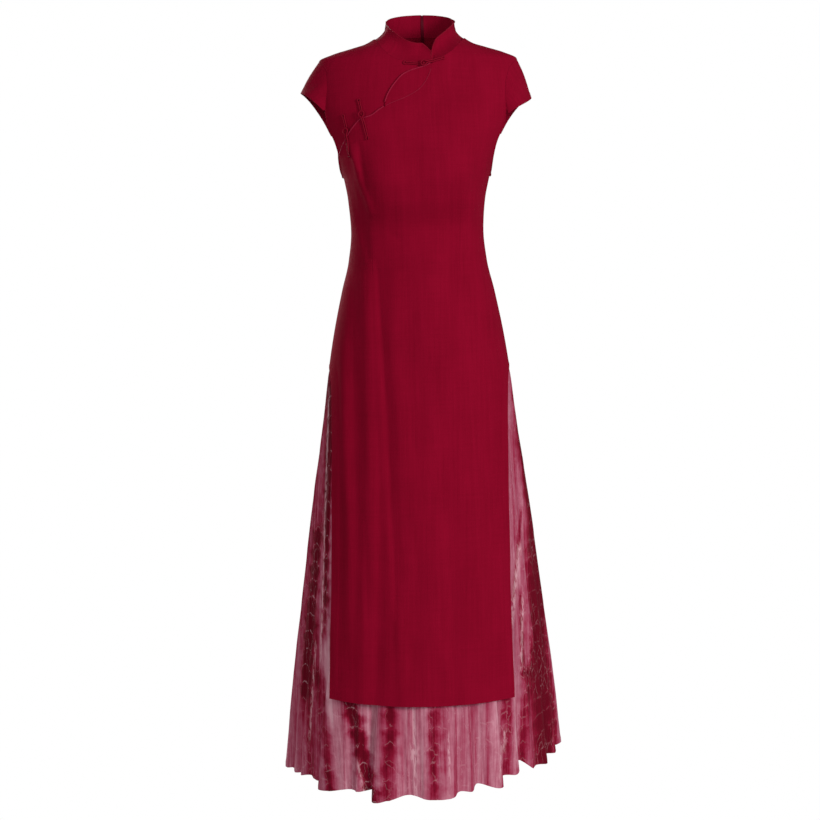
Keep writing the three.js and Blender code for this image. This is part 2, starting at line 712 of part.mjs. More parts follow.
// Joins two closed shapes into one solid.
function joined(first, second) {
  const solid = (geometry) => {
    const bare = geometry.clone();
    bare.deleteAttribute("normal");
    bare.deleteAttribute("uv");
    const merged = mergeVertices(bare, 1e-5);
    return new wasm.Manifold(new wasm.Mesh({
      numProp: 3,
      vertProperties: Float32Array.from(merged.attributes.position.array),
      triVerts: Uint32Array.from(merged.index.array),
    }));
  };
  const { vertProperties, triVerts } = solid(first).add(solid(second)).getMesh();
  const geometry = new THREE.BufferGeometry();
  geometry.setAttribute("position", new THREE.BufferAttribute(vertProperties, 3));
  geometry.setIndex(new THREE.BufferAttribute(triVerts, 1));
  geometry.computeVertexNormals();
  return geometry;
}

function sliderGeometry() {
  const { width, height, thick } = SLIDER;
  const body = new THREE.BoxGeometry(width, thick, height).translate(0, thick / 2, 0);
  const arch = new THREE.Shape();
  arch.absarc(0, 0, BRIDGE.outer, 0, Math.PI, false);
  arch.absarc(0, 0, BRIDGE.inner, Math.PI, 0, true);
  const bowed = new THREE.ExtrudeGeometry(arch,
    { depth: BRIDGE.width, bevelEnabled: false, curveSegments: 8 });
  bowed.translate(0, 0, -BRIDGE.width / 2).rotateY(Math.PI / 2);
  bowed.translate(0, thick - BRIDGE.sink, 0);
  return joined(body, bowed);
}

// The pull tab: a rounded plate with an oblong eye under its upper bar.
function tabGeometry() {
  const { bar, eyeHalf, eyeEnd, wideAt, end, halfTop, half, thick } = TAB;
  const plate = new THREE.Shape();
  plate.moveTo(-halfTop, bar);
  plate.lineTo(halfTop, bar);
  plate.lineTo(half, wideAt);
  plate.absarc(0, end + half, half, 0, -Math.PI, true);
  plate.lineTo(-half, wideAt);
  const eye = new THREE.Path();
  eye.moveTo(-eyeHalf, -bar);
  eye.lineTo(-eyeHalf, eyeEnd);
  eye.lineTo(eyeHalf, eyeEnd);
  eye.lineTo(eyeHalf, -bar);
  plate.holes.push(eye);
  const solid = new THREE.ExtrudeGeometry(plate, { depth: thick, bevelEnabled: false, curveSegments: 8 });
  return solid.translate(0, 0, -thick / 2).rotateX(Math.PI / 2);
}

// ---- frogs ---------------------------------------------------------------------------------

// Places a flat frog shape on the dress: along runs from the ball to the far end.
function frogPlane(frog, endX, endZ) {
  const ball = onDress(frog.x, frog.z, FRONT, 0);
  const normal = formNormal(frog.x, ball.y, frog.z, FRONT);
  const along = onDress(endX, endZ, FRONT, 0).sub(ball);
  const length = along.length();
  along.addScaledVector(normal, -along.dot(normal)).normalize();
  const across = vec(0, 0, 0).crossVectors(normal, along);
  const place = (a, b, out) => {
    const x = frog.x + along.x * a + across.x * b;
    const z = frog.z + along.z * a + across.z * b;
    return onDress(x, z, FRONT, out(x, z));
  };
  return { length, place };
}

const ringPoints = (centre, radius, from, to, count) => Array.from({ length: count }, (_, k) => {
  const angle = rad(mix(from, to, k / (count - 1)));
  return [centre + radius * Math.cos(angle), radius * Math.sin(angle)];
});

const BALL_LIE = 0.4;
const CORD_LIE = CORD_RADIUS + 0.45;             // cord centre above the cloth that it lies on
const CROSSING_OUT = OVERLAP_LIFT + 2 * PIPING_RADIUS + 0.2 + CORD_RADIUS;  // where it passes the piping
const LOOP_RADIUS = BALL_RADIUS + CORD_RADIUS + SEWN;

// The half with the ball: two cords side by side that turn back round an eye.
function knotHalf(frog) {
  const { length, place } = frogPlane(frog, frog.knotX, frog.knotZ);
  const start = LOOP_RADIUS + 2 * CORD_RADIUS + SEWN;
  const legs = [start, mix(start, length, 0.4), mix(start, length, 0.75)];
  const path = [
    ...legs.map((a) => [a, -LEG_SPREAD]),
    ...ringPoints(length, EYE_RADIUS, -135, 135, 7),
    ...legs.reverse().map((a) => [a, LEG_SPREAD]),
  ];
  return path.map(([a, b]) => place(a, b, (x, z) => layerOut(x, z) + CORD_LIE));
}

// The half with the loop: it passes over the edge and its piping and holds the ball.
function loopHalf(frog) {
  const { length, place } = frogPlane(frog, frog.loopX, frog.loopZ);
  const legs = [0.8, 0.6, 0.42, 0.3].map((share) => length * share);
  const path = [
    ...ringPoints(length, EYE_RADIUS, 25, 135, 4),
    ...legs.map((a) => [a, LEG_SPREAD]),
    ...ringPoints(0, LOOP_RADIUS, 30, 330, 9),
    ...legs.reverse().map((a) => [a, -LEG_SPREAD]),
    ...ringPoints(length, EYE_RADIUS, -135, -25, 4),
  ];
  return path.map(([a, b]) => place(a, b, (x, z) => {
    const lie = overlapLift(x, z) + CORD_LIE;
    const near = 1 - smooth(LOOP_RADIUS * 1.6, LOOP_RADIUS * 4, a);
    return mix(lie, CROSSING_OUT, near);
  }));
}

// ---- the underskirt ------------------------------------------------------------------------

const SKIRT_COLUMNS = 36;
const SKIRT_IN_TOP = 2.3;    // how far inside the dress the skirt starts
const SKIRT_IN_SIDE = 3.6;   // how far inside it hangs at the side seams
const SKIRT_IN_UNDER = 7;    // and under the panels, clear of their folds
const SKIRT_EASE = 70;       // height over which it leaves the dress

const belowSkirtTop = (z) => smooth(SKIRT_TOP_Z, SKIRT_TOP_Z - SKIRT_EASE, z);

function skirtInset(angle, z, side) {
  const hanging = mix(SKIRT_IN_SIDE, SKIRT_IN_UNDER, smooth(86, 62, Math.abs(angle)));
  let inset = mix(SKIRT_IN_TOP, hanging, belowSkirtTop(z));
  for (const trough of SKIRT_TROUGHS[side === FRONT ? "front" : "back"]) {
    const across = Math.abs(angle - trough.angle) / (trough.width * 1.35);
    if (across >= 1) continue;
    const grown = THREE.MathUtils.clamp((z - trough.from) / (SKIRT_HEM_Z - trough.from), 0, 1);
    inset += trough.depth * Math.cos((across * Math.PI) / 2) ** 2 * grown ** 1.2;
  }
  return inset;
}

// The hem waves up a little in each trough and hangs lower at the wearer's right.
function skirtHemDrop(angle, inset) {
  return 6 * Math.sin(rad(angle)) + 0.35 * (inset - SKIRT_IN_UNDER);
}

function skirtGrids(side) {
  const angles = Array.from({ length: SKIRT_COLUMNS + 1 }, (_, k) => mix(-90, 90, k / SKIRT_COLUMNS));
  const face = (extra) => SKIRT_LEVELS.map((level) => angles.map((angle) => {
    const inset = skirtInset(angle, level, side);
    const low = (level - SKIRT_TOP_Z) / (SKIRT_HEM_Z - SKIRT_TOP_Z);
    const z = level + skirtHemDrop(angle, inset) * low ** 3;
    const half = halfAt(z);
    const x = half * Math.sin(rad(angle));
    const y = formY(x, z, side);
    const follow = relief(x, z, side) * (1 - belowSkirtTop(z));
    const point = vec(x, y, z).addScaledVector(formNormal(x, y, z, side), follow - inset - extra);
    point.y = side * Math.max(side * point.y, SEAM / 2);
    return point;
  }));
  return { outer: face(0), inner: face(SKIRT_CLOTH) };
}

// ---- the dress -----------------------------------------------------------------------------

const CRIMSON = { color: 0x7d0622, roughness: 0.9, metalness: 0 };
const PIPED = { color: 0x8a0a28, roughness: 0.6, metalness: 0 };
const TIE_DYE = { color: 0xa04b5d, roughness: 0.85, metalness: 0 };
const ENAMEL = { color: 0x74061f, roughness: 0.35, metalness: 0.5 };

const dress = new THREE.Group();

function add(name, geometry, finish, parent = dress) {
  const mesh = new THREE.Mesh(geometry, new THREE.MeshStandardMaterial(finish));
  mesh.name = name;
  parent.add(mesh);
  return mesh;
}

const addWall = (name, grids, finish) => add(name, wall(grids.outer, grids.inner), finish);

addWall("front", front, CRIMSON);
addWall("front_yoke", yoke, CRIMSON);
addWall("back_left", backLeft, CRIMSON);
addWall("back_right", backRight, CRIMSON);
addWall("petal_inset", petalGrids(), CRIMSON);
addWall("collar_left", collarLeft, CRIMSON);
addWall("collar_right", collarRight, CRIMSON);
addWall("cap_sleeve_left", capGrids(LEFT), CRIMSON);
addWall("cap_sleeve_right", capGrids(RIGHT), CRIMSON);
addWall("skirt_front", skirtGrids(FRONT), TIE_DYE);
addWall("skirt_back", skirtGrids(BACK), TIE_DYE);

add("petal_piping", cord(petalPiping, PIPING_RADIUS, 6, 16), PIPED);
add("slant_piping", cord(slantPiping, PIPING_RADIUS, 6, 16), PIPED);

for (const frog of FROGS) {
  add(`${frog.name}_frog_knot`, cord(knotHalf(frog), CORD_RADIUS, 5, 22), PIPED);
  add(`${frog.name}_frog_loop`, cord(loopHalf(frog), CORD_RADIUS, 5, 38), PIPED);
  const ball = add(`${frog.name}_frog_ball`, new THREE.IcosahedronGeometry(BALL_RADIUS, 1), PIPED);
  const ballOut = layerOut(frog.x, frog.z) + BALL_RADIUS + BALL_LIE;
  ball.position.copy(leaned(onDress(frog.x, frog.z, FRONT, ballOut)));
}

addWall("zip", zipGrids(), ENAMEL);

const zipHead = new THREE.Group();
const collarBack = column(collarLeft.outer, -1);
const zipHeadY = mix(collarBack.at(-1).y, collarBack.at(-2).y, 0.5) + SLIDER.stand;
zipHead.position.copy(leaned(vec(ZIP_X, zipHeadY, SLIDER.z)));
zipHead.rotation.x = rad(SLIDER.lean);
dress.add(zipHead);

add("zip_slider", sliderGeometry(), ENAMEL, zipHead);
const tab = add("zip_pull_tab", tabGeometry(), ENAMEL, zipHead);
tab.position.set(0, TAB_AXIS_OUT, 0);

export default dress;
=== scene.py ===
"""Looks of a cap-sleeved ao dai: a crimson linen dress over a flared, tie-dyed underskirt.

Sizes are in millimetres until a mesh is made, and Blender holds metres. The front faces -Y, the
wearer's left side is at +X, and the origin is midway between the two side neck points.
"""

import math

import bpy
import numpy as np
from mathutils import Matrix, Vector


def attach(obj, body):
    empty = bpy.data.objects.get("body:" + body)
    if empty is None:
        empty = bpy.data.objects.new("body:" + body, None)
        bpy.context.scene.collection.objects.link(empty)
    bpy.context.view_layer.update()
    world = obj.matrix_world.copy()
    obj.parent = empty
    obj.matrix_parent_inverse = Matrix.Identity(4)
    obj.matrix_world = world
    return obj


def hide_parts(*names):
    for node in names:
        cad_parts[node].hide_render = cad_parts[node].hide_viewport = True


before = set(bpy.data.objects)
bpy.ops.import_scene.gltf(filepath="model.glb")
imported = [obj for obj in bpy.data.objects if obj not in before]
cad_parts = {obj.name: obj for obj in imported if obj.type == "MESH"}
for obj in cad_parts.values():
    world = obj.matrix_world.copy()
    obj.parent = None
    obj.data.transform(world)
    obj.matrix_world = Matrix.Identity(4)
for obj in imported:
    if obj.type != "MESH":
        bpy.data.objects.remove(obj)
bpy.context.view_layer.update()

MM = 0.001
RIGHT, LEFT = -1, 1
FRONT, BACK = -1, 1

# ---- sizes of the dress ----------------------------------------------------------------------

CLOTH = 1.5
SKIRT_CLOTH = 1.2
COLLAR_CLOTH = 2.0
# The gap between two panels at a seam, and between a sewn-on piece and what it is sewn to.
SEAM = 0.3
SEWN = 0.35

UNDERARM_Z = -256
SLIT_Z = -614
PANEL_HEM_Z = -1227
PANEL_SHIFT = -3.6
PANEL_SPREAD = 0.012
SKIRT_TOP_Z = -378
SKIRT_HEM_Z = -1398

# The shoulders and collar lean to the wearer's left by this much, growing between two levels.
LEAN = 10
LEAN_FROM_Z = -140
LEAN_TO_Z = 50

NECK_HALF = 84
NECK_FRONT_Z = -50
NECK_BACK_Z = 8
SHOULDER_Z = -40
ZIP_X = 6
ZIP_GAP = 3.6
ZIP_END_Z = -530

# The front stands off the yoke beside its slanted edge: how far, how wide a strip, and where it ends.
OVERLAP_LIFT = 2.6
OVERLAP_FLAT = 14
OVERLAP_FADE = 44
UNDERLAP = 12

PIPING_RADIUS = 1.3
CORD_RADIUS = 1.25
BALL_RADIUS = 3.4
EYE_RADIUS = 2.6
LEG_SPREAD = 1.6


def table(columns, *rows):
    """A short table as one array for each named column."""
    return dict(zip(columns.split(), np.array(rows, float).T))


# Level sections: half the width, the depth ahead of and behind the side seam, and how square.
SECTIONS = table(
    "z half front back square",
    (14, 66, 52, 58, 2.0),
    (0, 84, 58, 66, 2.0),
    (-11, 103, 62, 71, 2.0),
    (-18, 126, 66, 76, 2.0),
    (-29, 163, 70, 80, 2.0),
    (-40, 186, 74, 84, 2.1),
    (-70, 190, 84, 93, 2.2),
    (-110, 190, 98, 101, 2.3),
    (-150, 181, 111, 105, 2.3),
    (-200, 158, 122, 104, 2.3),
    (-256, 137, 127, 98, 2.3),
    (-300, 129, 119, 90, 2.2),
    (-358, 126, 98, 78, 2.1),
    (-415, 132, 98, 84, 2.1),
    (-473, 146, 106, 99, 2.1),
    (-549, 162, 114, 115, 2.1),
    (-615, 173, 120, 121, 2.1),
    (-743, 190, 133, 131, 2.05),
    (-881, 211, 156, 149, 2.0),
    (-1080, 237, 190, 182, 2.0),
    (-1222, 256, 214, 207, 2.0),
    (-1400, 275, 244, 236, 2.0),
)
# The armhole's edge, the long panels' edge below the slits, the slanted edge and the petal's arc.
ARMHOLE = table(
    "z x",
    (-40, 186),
    (-62, 170),
    (-95, 165),
    (-134, 167),
    (-160, 163),
    (-200, 147),
    (-230, 140),
    (-256, 137),
)
PANEL_EDGE = table("z x", (-614, 173), (-640, 168), (-720, 165), (-1000, 166), (-1227, 171))
SLANT = table(
    "x z",
    (27, -50),
    (26, -60),
    (23, -73),
    (15, -91),
    (4, -104),
    (-20, -118),
    (-47, -129),
    (-66, -140),
    (-80, -150),
    (-99, -156),
    (-115, -172),
    (-128, -192),
    (-141, -222),
)
PETAL_ARC = table(
    "x z", (27, -53), (16, -60), (0, -65), (-12, -69), (-25, -76), (-39, -92), (-50, -111), (-56, -128)
)

# Folds: a line from (x, z) to (end_x, end_z), its half widths towards -X and +X, and its rise in
# the middle. Its shape is 2 for a rounded bell and near 1 for a sharp crease, as at a dart.
FOLD = "x z end_x end_z left right rise shape"
FRONT_FOLDS = table(
    FOLD,
    (-113, -196, -80, -330, 9, 7, 4.6, 2),
    (-96, -232, -84, -300, 6, 4, -2.4, 2),
    (-86, -258, -85, -432, 22, 60, 4.6, 1),
    (-98, -250, -94, -420, 10, 10, -2.2, 2),
    (-95, -410, -93, -1000, 12, 11, 3.8, 2),
    (-77, -410, -48, -1080, 4, 12, -6.6, 1.1),
    (-48, -420, -34, -900, 12, 22, 2.0, 2),
    (-124, -440, -122, -1080, 9, 12, -2.8, 2),
    (-140, -520, -134, -1120, 12, 12, 2.6, 2),
    (56, -270, 69, -560, 12, 12, -2.5, 2),
    (52, -760, 58, -1180, 22, 22, -3, 2),
    # smaller creases: at the frogs and armhole, round the waist, over the hip and down the panel
    (-124, -182, -100, -250, 5, 4, 2.2, 2),
    (-104, -196, -88, -280, 5, 5, -1.8, 2),
    (-120, -262, -106, -350, 6, 6, -1.2, 2),
    (116, -214, 92, -300, 9, 9, -1.4, 2),
    (106, -300, 84, -392, 7, 7, 1.2, 2),
    (-112, -352, -92, -428, 6, 6, 1.4, 2),
    (-58, -356, -20, -384, 6, 6, -0.8, 2),
    (30, -352, 86, -384, 7, 7, -0.9, 2),
    (72, -318, 76, -500, 9, 5, 1.3, 2),
    (92, -392, 112, -640, 10, 10, -1.4, 2),
    (118, -430, 132, -760, 9, 9, 1.5, 2),
    (-24, -420, -18, -760, 16, 16, -1.2, 2),
    (14, -470, 22, -1020, 18, 18, 1.3, 2),
    (-146, -560, -140, -860, 8, 8, 1.6, 2),
    (-72, -800, -92, -1300, 8, 13, -3.4, 2),
    (-112, -900, -112, -1290, 14, 10, 3.2, 2),
    (-128, -820, -140, -1230, 14, 14, 2.2, 2),
    (98, -700, 104, -1150, 15, 15, 1.8, 2),
    (56, -860, 58, -1290, 9, 14, -2.8, 2),
    (130, -840, 138, -1230, 12, 12, -1.8, 2),
    (-8, -900, -16, -1240, 15, 15, -1.6, 2),
    (-44, -1000, -38, -1290, 9, 12, 2.4, 2),
)
BACK_FOLDS = table(
    FOLD,
    (74, -250, 66, -540, 13, 13, -3, 2),
    (-62, -250, -58, -540, 13, 13, -3, 2),
    (92, -620, 104, -1190, 24, 24, -4, 2),
    (-44, -660, -62, -1230, 26, 26, -4, 2),
    (-118, -600, -124, -1060, 18, 18, 3, 2),
    # smaller creases: between the shoulders, in the small of the back, over the seat and below
    (-96, -90, -70, -190, 12, 12, -1.2, 2),
    (112, -96, 84, -200, 11, 11, -1.3, 2),
    (-112, -210, -84, -300, 8, 8, 1.6, 2),
    (118, -220, 88, -312, 9, 9, -1.8, 2),
    (-78, -318, -20, -342, 7, 7, -1.7, 2),
    (30, -330, 92, -352, 7, 7, -1.6, 2),
    (-70, -372, -24, -396, 6, 6, 1.4, 2),
    (36, -384, 84, -404, 6, 6, 1.2, 2),
    (-104, -392, -112, -600, 9, 5, 2.2, 2),
    (104, -410, 118, -640, 6, 9, -2.2, 2),
    (26, -560, 34, -960, 16, 10, 2.2, 2),
    (-14, -620, -12, -1040, 9, 12, -2.2, 2),
    (66, -860, 74, -1240, 12, 12, 2.4, 2),
    (134, -780, 142, -1220, 12, 12, -2.4, 2),
    (-92, -900, -102, -1240, 11, 11, -2.2, 2),
    (-146, -700, -150, -1180, 10, 10, 2.2, 2),
)

# Rounded fullness on both sides of the middle: at the bust, shoulder blades and seat.
FULLNESS = table(
    "side x z wide tall rise", (-1, 76, -248, 48, 60, 11), (1, 78, -150, 55, 70, 3), (1, 70, -545, 62, 75, 5)
)

# Slow waves that keep the cloth from lying dead flat: turns across and down per metre, phase, height.
WAVE = "across down phase rise"
SWAY = table(WAVE, (9, 2.1, 0.4, 0.45), (17, -3.4, 1.9, 0.28), (31, 4.7, 4.1, 0.16), (5, 7.5, 2.7, 0.3))
# They grow between two levels. Folds and waves sink no deeper than the limit, and both fade out over
# the last stretch of depth beside the side seams.
SWAY_FROM_Z = -60
SWAY_FULL_Z = -300
DEEPEST = 5.2
SEAM_CALM = 28

# Skirt folds: angle from the middle of the side, half width in degrees, depth at the hem, the level
# where it starts, how far one lip leans over it (to the wearer's left if above zero), and how far
# the hem is lifted in the fold and hangs at that lip.
TROUGH = "angle width depth start lean lift hang"
FRONT_TROUGHS = table(
    TROUGH,
    (-78, 6, 10, -640, 0.1, 7, 0),
    (-68, 5, 12, -580, -0.3, 3, 3),
    (-57, 5, 9, -760, 0.1, 2, 0),
    (-47, 6, 18, -620, -1.4, 3, 13),
    (-32, 5, 8, -860, -0.15, 4, 0),
    (-21, 6, 17, -760, -1.1, 8, 17),
    (-6, 6, 9, -1000, 0.1, 6, 0),
    (14.5, 5, 13, -820, 0.35, 8, 0),
    (22, 5, 14, -760, 0.45, 9, 8),
    (35, 5, 15, -700, 0.55, 8, 8),
    (45, 5, 14, -680, 0.4, 21, 4),
    (57, 6, 11, -700, 0.1, 1, 0),
    (68, 5, 13, -600, 0.35, 9, 5),
    (80, 5, 10, -660, 0.1, 2, 0),
)
BACK_TROUGHS = table(
    TROUGH,
    (-74, 7, 15, -640, 0.6, 7, 6),
    (-57, 6, 17, -700, -0.9, 8, 11),
    (-40, 7, 14, -760, 0.4, 6, 4),
    (-22, 6, 17, -720, 0.9, 9, 9),
    (-6, 6, 13, -860, -0.4, 5, 5),
    (12, 7, 17, -780, -0.95, 8, 11),
    (29, 6, 14, -700, 0.4, 6, 4),
    (46, 7, 17, -740, 0.9, 12, 9),
    (64, 6, 14, -640, -0.5, 7, 7),
    (80, 5, 11, -620, 0.4, 5, 2),
)
# The level of the skirt's hem by the angle from its middle, alike in front and behind.
HEM = table(
    "angle z",
    (-90, -1406),
    (-80, -1407),
    (-68, -1397),
    (-58, -1388),
    (-50, -1392),
    (-42, -1393),
    (-20, -1391),
    (6, -1396),
    (20, -1385),
    (33, -1380),
    (42, -1371),
    (66, -1374),
    (78, -1367),
    (90, -1364),
)
CRINKLE = table(WAVE, (38, 1.3, 0.3, 0.5), (61, -2.2, 2.1, 0.42), (97, 3.1, 4.4, 0.3), (143, -4.6, 1.2, 0.2))

# Dyed bands: a line from (x, z) to (end_x, end_z) as the skirt hangs, half its width, how much it
# deepens (or pales, below zero) the dye, and how strongly it is beaded.
BAND = "x z end_x end_z half deep bead"
FRONT_BANDS = table(
    BAND,
    # the wearer's right side, from the outer edge inwards
    (-172, -560, -268, -1330, 8, 0.2, 0.2),
    (-174, -540, -264, -1470, 30, 0.13, 0),
    (-176, -600, -240, -1340, 12, 0.12, 0.2),
    (-196, -905, -234, -1270, 9, 0.38, 1),
    (-168, -620, -188, -1150, 6, 0.5, 0.8),
    (-172, -540, -184, -960, 9, 0.26, 0.3),
    (-216, -1060, -212, -1470, 13, 0.34, 0.2),
    (-182, -1060, -178, -1290, 7, -0.28, 0),
    # below the front panel
    (-200, -1170, -172, -1450, 11, 0.42, 0.35),
    (-176, -1200, -134, -1460, 9, -0.08, 0),
    (-146, -1190, -90, -1440, 15, 0.62, 0.8),
    (-102, -1190, -92, -1460, 7, -0.12, 0),
    (-60, -1180, -70, -1460, 12, 0.46, 0.4),
    (-18, -1180, -17, -1460, 5, -0.14, 0),
    (21, -1180, 18, -1460, 12, 0.32, 0.4),
    (58, -1190, 56, -1460, 3, 0.3, 0),
    (90, -1180, 88, -1460, 9, 0.12, 0),
    (104, -1180, 102, -1460, 5, -0.12, 0),
    (118, -1180, 116, -1460, 5, 0.2, 0),
    (134, -1180, 132, -1460, 5, -0.06, 0),
    (156, -1160, 152, -1420, 10, 0.36, 0.3),
    (176, -1180, 170, -1420, 5, -0.08, 0),
    # the wearer's left side
    (202, -1170, 178, -1420, 10, 0.38, 0.3),
    (172, -560, 182, -980, 12, 0.14, 0),
    (184, -1000, 190, -1200, 12, 0.06, 0),
    (194, -880, 168, -1070, 3, 0.35, 0),
    (186, -1030, 190, -1210, 4, 0.34, 0.6),
    (180, -640, 236, -1120, 9, 0.34, 0.3),
    (202, -700, 262, -1500, 18, 0.5, 0.2),
    (208, -900, 236, -1500, 15, 0.44, 0.2),
    (212, -1120, 214, -1500, 9, 0.3, 0),
)
BACK_BANDS = table(
    BAND,
    (-150, -600, -236, -1430, 12, 0.4, 0.6),
    (-120, -560, -190, -1430, 9, -0.14, 0),
    (-96, -560, -150, -1430, 13, 0.5, 0.8),
    (-58, -560, -96, -1430, 8, 0.25, 0.2),
    (-30, -560, -44, -1430, 11, 0.46, 0.5),
    (-8, -560, -14, -1430, 5, -0.16, 0),
    (20, -560, 30, -1430, 10, 0.3, 0.5),
    (52, -560, 88, -1430, 15, 0.55, 0.8),
    (88, -560, 138, -1430, 8, -0.12, 0),
    (108, -560, 176, -1430, 11, 0.42, 0.3),
    (140, -600, 222, -1430, 14, 0.4, 0.5),
)
# Pale threads where the binding kept the dye out, in the same lines.
RESIST_LINES = table(
    "x z end_x end_z half",
    (-20, -1190, -17, -1430, 2.4),
    (-20, -1298, -19, -1332, 8),
    (-173, -640, -196, -1190, 1.8),
    (-204, -1130, -220, -1330, 1.6),
    (-126, -1330, -110, -1410, 1.6),
    (152, -1288, 146, -1330, 3.6),
    (144, -1310, 138, -1400, 1.8),
    (188, -950, 164, -1110, 4.4),
    (192, -1050, 184, -1190, 2.4),
    (45, -1270, 45, -1400, 1.4),
)
BEAD_PITCH = 33

# Each frog, as places across and up the front: its ball, and the far ends of its two halves.
FROGS = {
    "collar": {"ball": (11, -55.5), "knot": (-23, -53), "loop": (46, -46)},
    "chest": {"ball": (-98, -147), "knot": (-104, -121), "loop": (-86, -190)},
    "side": {"ball": (-126, -175), "knot": (-132, -148), "loop": (-116, -218)},
}


# ---- small tools -----------------------------------------------------------------------------


def mix(a, b, t):
    """From a at t = 0 to b at t = 1, in a straight line."""
    return a + (b - a) * t


def smooth(low, high, value):
    """Eases from 0 to 1 as the value passes from one limit to the other."""
    u = np.clip((value - low) / (high - low), 0, 1)
    return u * u * (3 - 2 * u)


def curve(at, value):
    """A curve through points that never overshoots: cubic pieces whose slope at a point is the
    harmonic mean of the rises beside it, or nothing where those differ in sign."""
    order = np.argsort(at)
    t, v = at[order], value[order]
    rise = np.diff(v) / np.diff(t)
    before, after = rise[:-1], rise[1:]
    total = np.where(before + after == 0, 1, before + after)
    middle = np.where(before * after > 0, 2 * before * after / total, 0)
    slope = np.concatenate([rise[:1], middle, rise[-1:]])

    def along(x):
        x = np.asarray(x, float)
        i = np.clip(np.searchsorted(t, x, side="right") - 1, 0, len(t) - 2)
        step = t[i + 1] - t[i]
        u = np.clip((x - t[i]) / step, 0, 1)
        level = (1 + 2 * u) * (1 - u) ** 2 * v[i] + u**2 * (3 - 2 * u) * v[i + 1]
        return level + (u * (1 - u) ** 2 * slope[i] - u**2 * (1 - u) * slope[i + 1]) * step

    return along


def unit(vectors):
    """The vectors divided by their lengths."""
    return vectors / np.maximum(np.linalg.norm(vectors, axis=-1, keepdims=True), 1e-9)


def run_of(path):
    """Distance travelled along a path of points, from its first."""
    return np.concatenate([[0], np.cumsum(np.linalg.norm(np.diff(path, axis=0), axis=1))])


def at_runs(path, runs):
    """The points at given distances along a path, on its straight stretches."""
    run = run_of(path)
    return np.stack([np.interp(runs, run, path[:, k]) for k in range(path.shape[1])], axis=1)


def respace(path, count):
    """The same path with its points evenly spaced."""
    return at_runs(path, np.linspace(0, run_of(path)[-1], count))


def spline(points, count):
    """A smooth path through points: cubic pieces whose slope at a point joins its two neighbours,
    with time measured along the chords, then evenly spaced."""
    points = np.asarray(points, float)
    at = run_of(points)
    slope = np.gradient(points, at, axis=0)
    t = np.linspace(0, at[-1], 12 * count)
    i = np.clip(np.searchsorted(at, t, side="right") - 1, 0, len(at) - 2)
    step = (at[i + 1] - at[i])[:, None]
    u = ((t - at[i]) / (at[i + 1] - at[i]))[:, None]
    level = (1 + 2 * u) * (1 - u) ** 2 * points[i] + u**2 * (3 - 2 * u) * points[i + 1]
    level += (u * (1 - u) ** 2 * slope[i] - u**2 * (1 - u) * slope[i + 1]) * step
    return respace(level, count)


def ripple(waves, across, down):
    """A sum of slow sine waves over a place given in metres."""
    total = 0
    for a, d, phase, rise in zip(waves["across"], waves["down"], waves["phase"], waves["rise"]):
        total = total + rise * np.sin(2 * np.pi * (a * across + d * down) + phase)
    return total


# ---- the filled form -------------------------------------------------------------------------

half_at = curve(SECTIONS["z"], SECTIONS["half"])
depth_at = {
    FRONT: curve(SECTIONS["z"], SECTIONS["front"]),
    BACK: curve(SECTIONS["z"], SECTIONS["back"]),
}
square_at = curve(SECTIONS["z"], SECTIONS["square"])
armhole_at = curve(ARMHOLE["z"], ARMHOLE["x"])
panel_edge_at = curve(PANEL_EDGE["z"], PANEL_EDGE["x"])
slant_at = curve(SLANT["x"], SLANT["z"])
petal_at = curve(PETAL_ARC["x"], PETAL_ARC["z"])


def form_y(x, z, side):
    """Depth of the form: on the rounded oval (x / half)^n + (y / depth)^n = 1 of that level."""
    square = square_at(z)
    across = np.minimum(np.abs(x) / half_at(z), 1)
    return side * depth_at[side](z) * (1 - across**square) ** (1 / square)


def form_normal(x, y, z, side):
    """Outward direction of the form: how fast the ovals' size grows along X, Y and Z."""

    def size(px, py, pz):
        square = square_at(pz)
        return np.abs(px / half_at(pz)) ** square + np.abs(py / depth_at[side](pz)) ** square

    step = 0.5
    growth = [
        size(x + step, y, z) - size(x - step, y, z),
        size(x, y + step, z) - size(x, y - step, z),
        size(x, y, z + step) - size(x, y, z - step),
    ]
    return unit(np.stack(growth, axis=-1))


def line_place(line, x, z):
    """Where points lie beside a line: their share of the way along it, by the dot product, and their
    distance to its +X side, by the cross product."""
    run_x, run_z = line["end_x"] - line["x"], line["end_z"] - line["z"]
    length = math.hypot(run_x, run_z)
    from_x, from_z = x - line["x"], z - line["z"]
    along = (from_x * run_x + from_z * run_z) / length**2
    return along, (from_z * run_x - from_x * run_z) / length


def rows_of(lines):
    """A table's rows, each by its columns' names."""
    return [dict(zip(lines, row)) for row in zip(*lines.values())]


def fold_rise(folds, x, z):
    """The folds added together: each is rise * exp(-across^shape) across its line, times the root of
    a half sine along it."""
    total = np.zeros(np.shape(x))
    for fold in rows_of(folds):
        along, across = line_place(fold, x, z)
        across = np.abs(across) / np.where(across > 0, fold["right"], fold["left"])
        bell = np.exp(-(across ** fold["shape"]))
        total += fold["rise"] * bell * np.sin(np.pi * np.clip(along, 0, 1)) ** 0.5
    return total


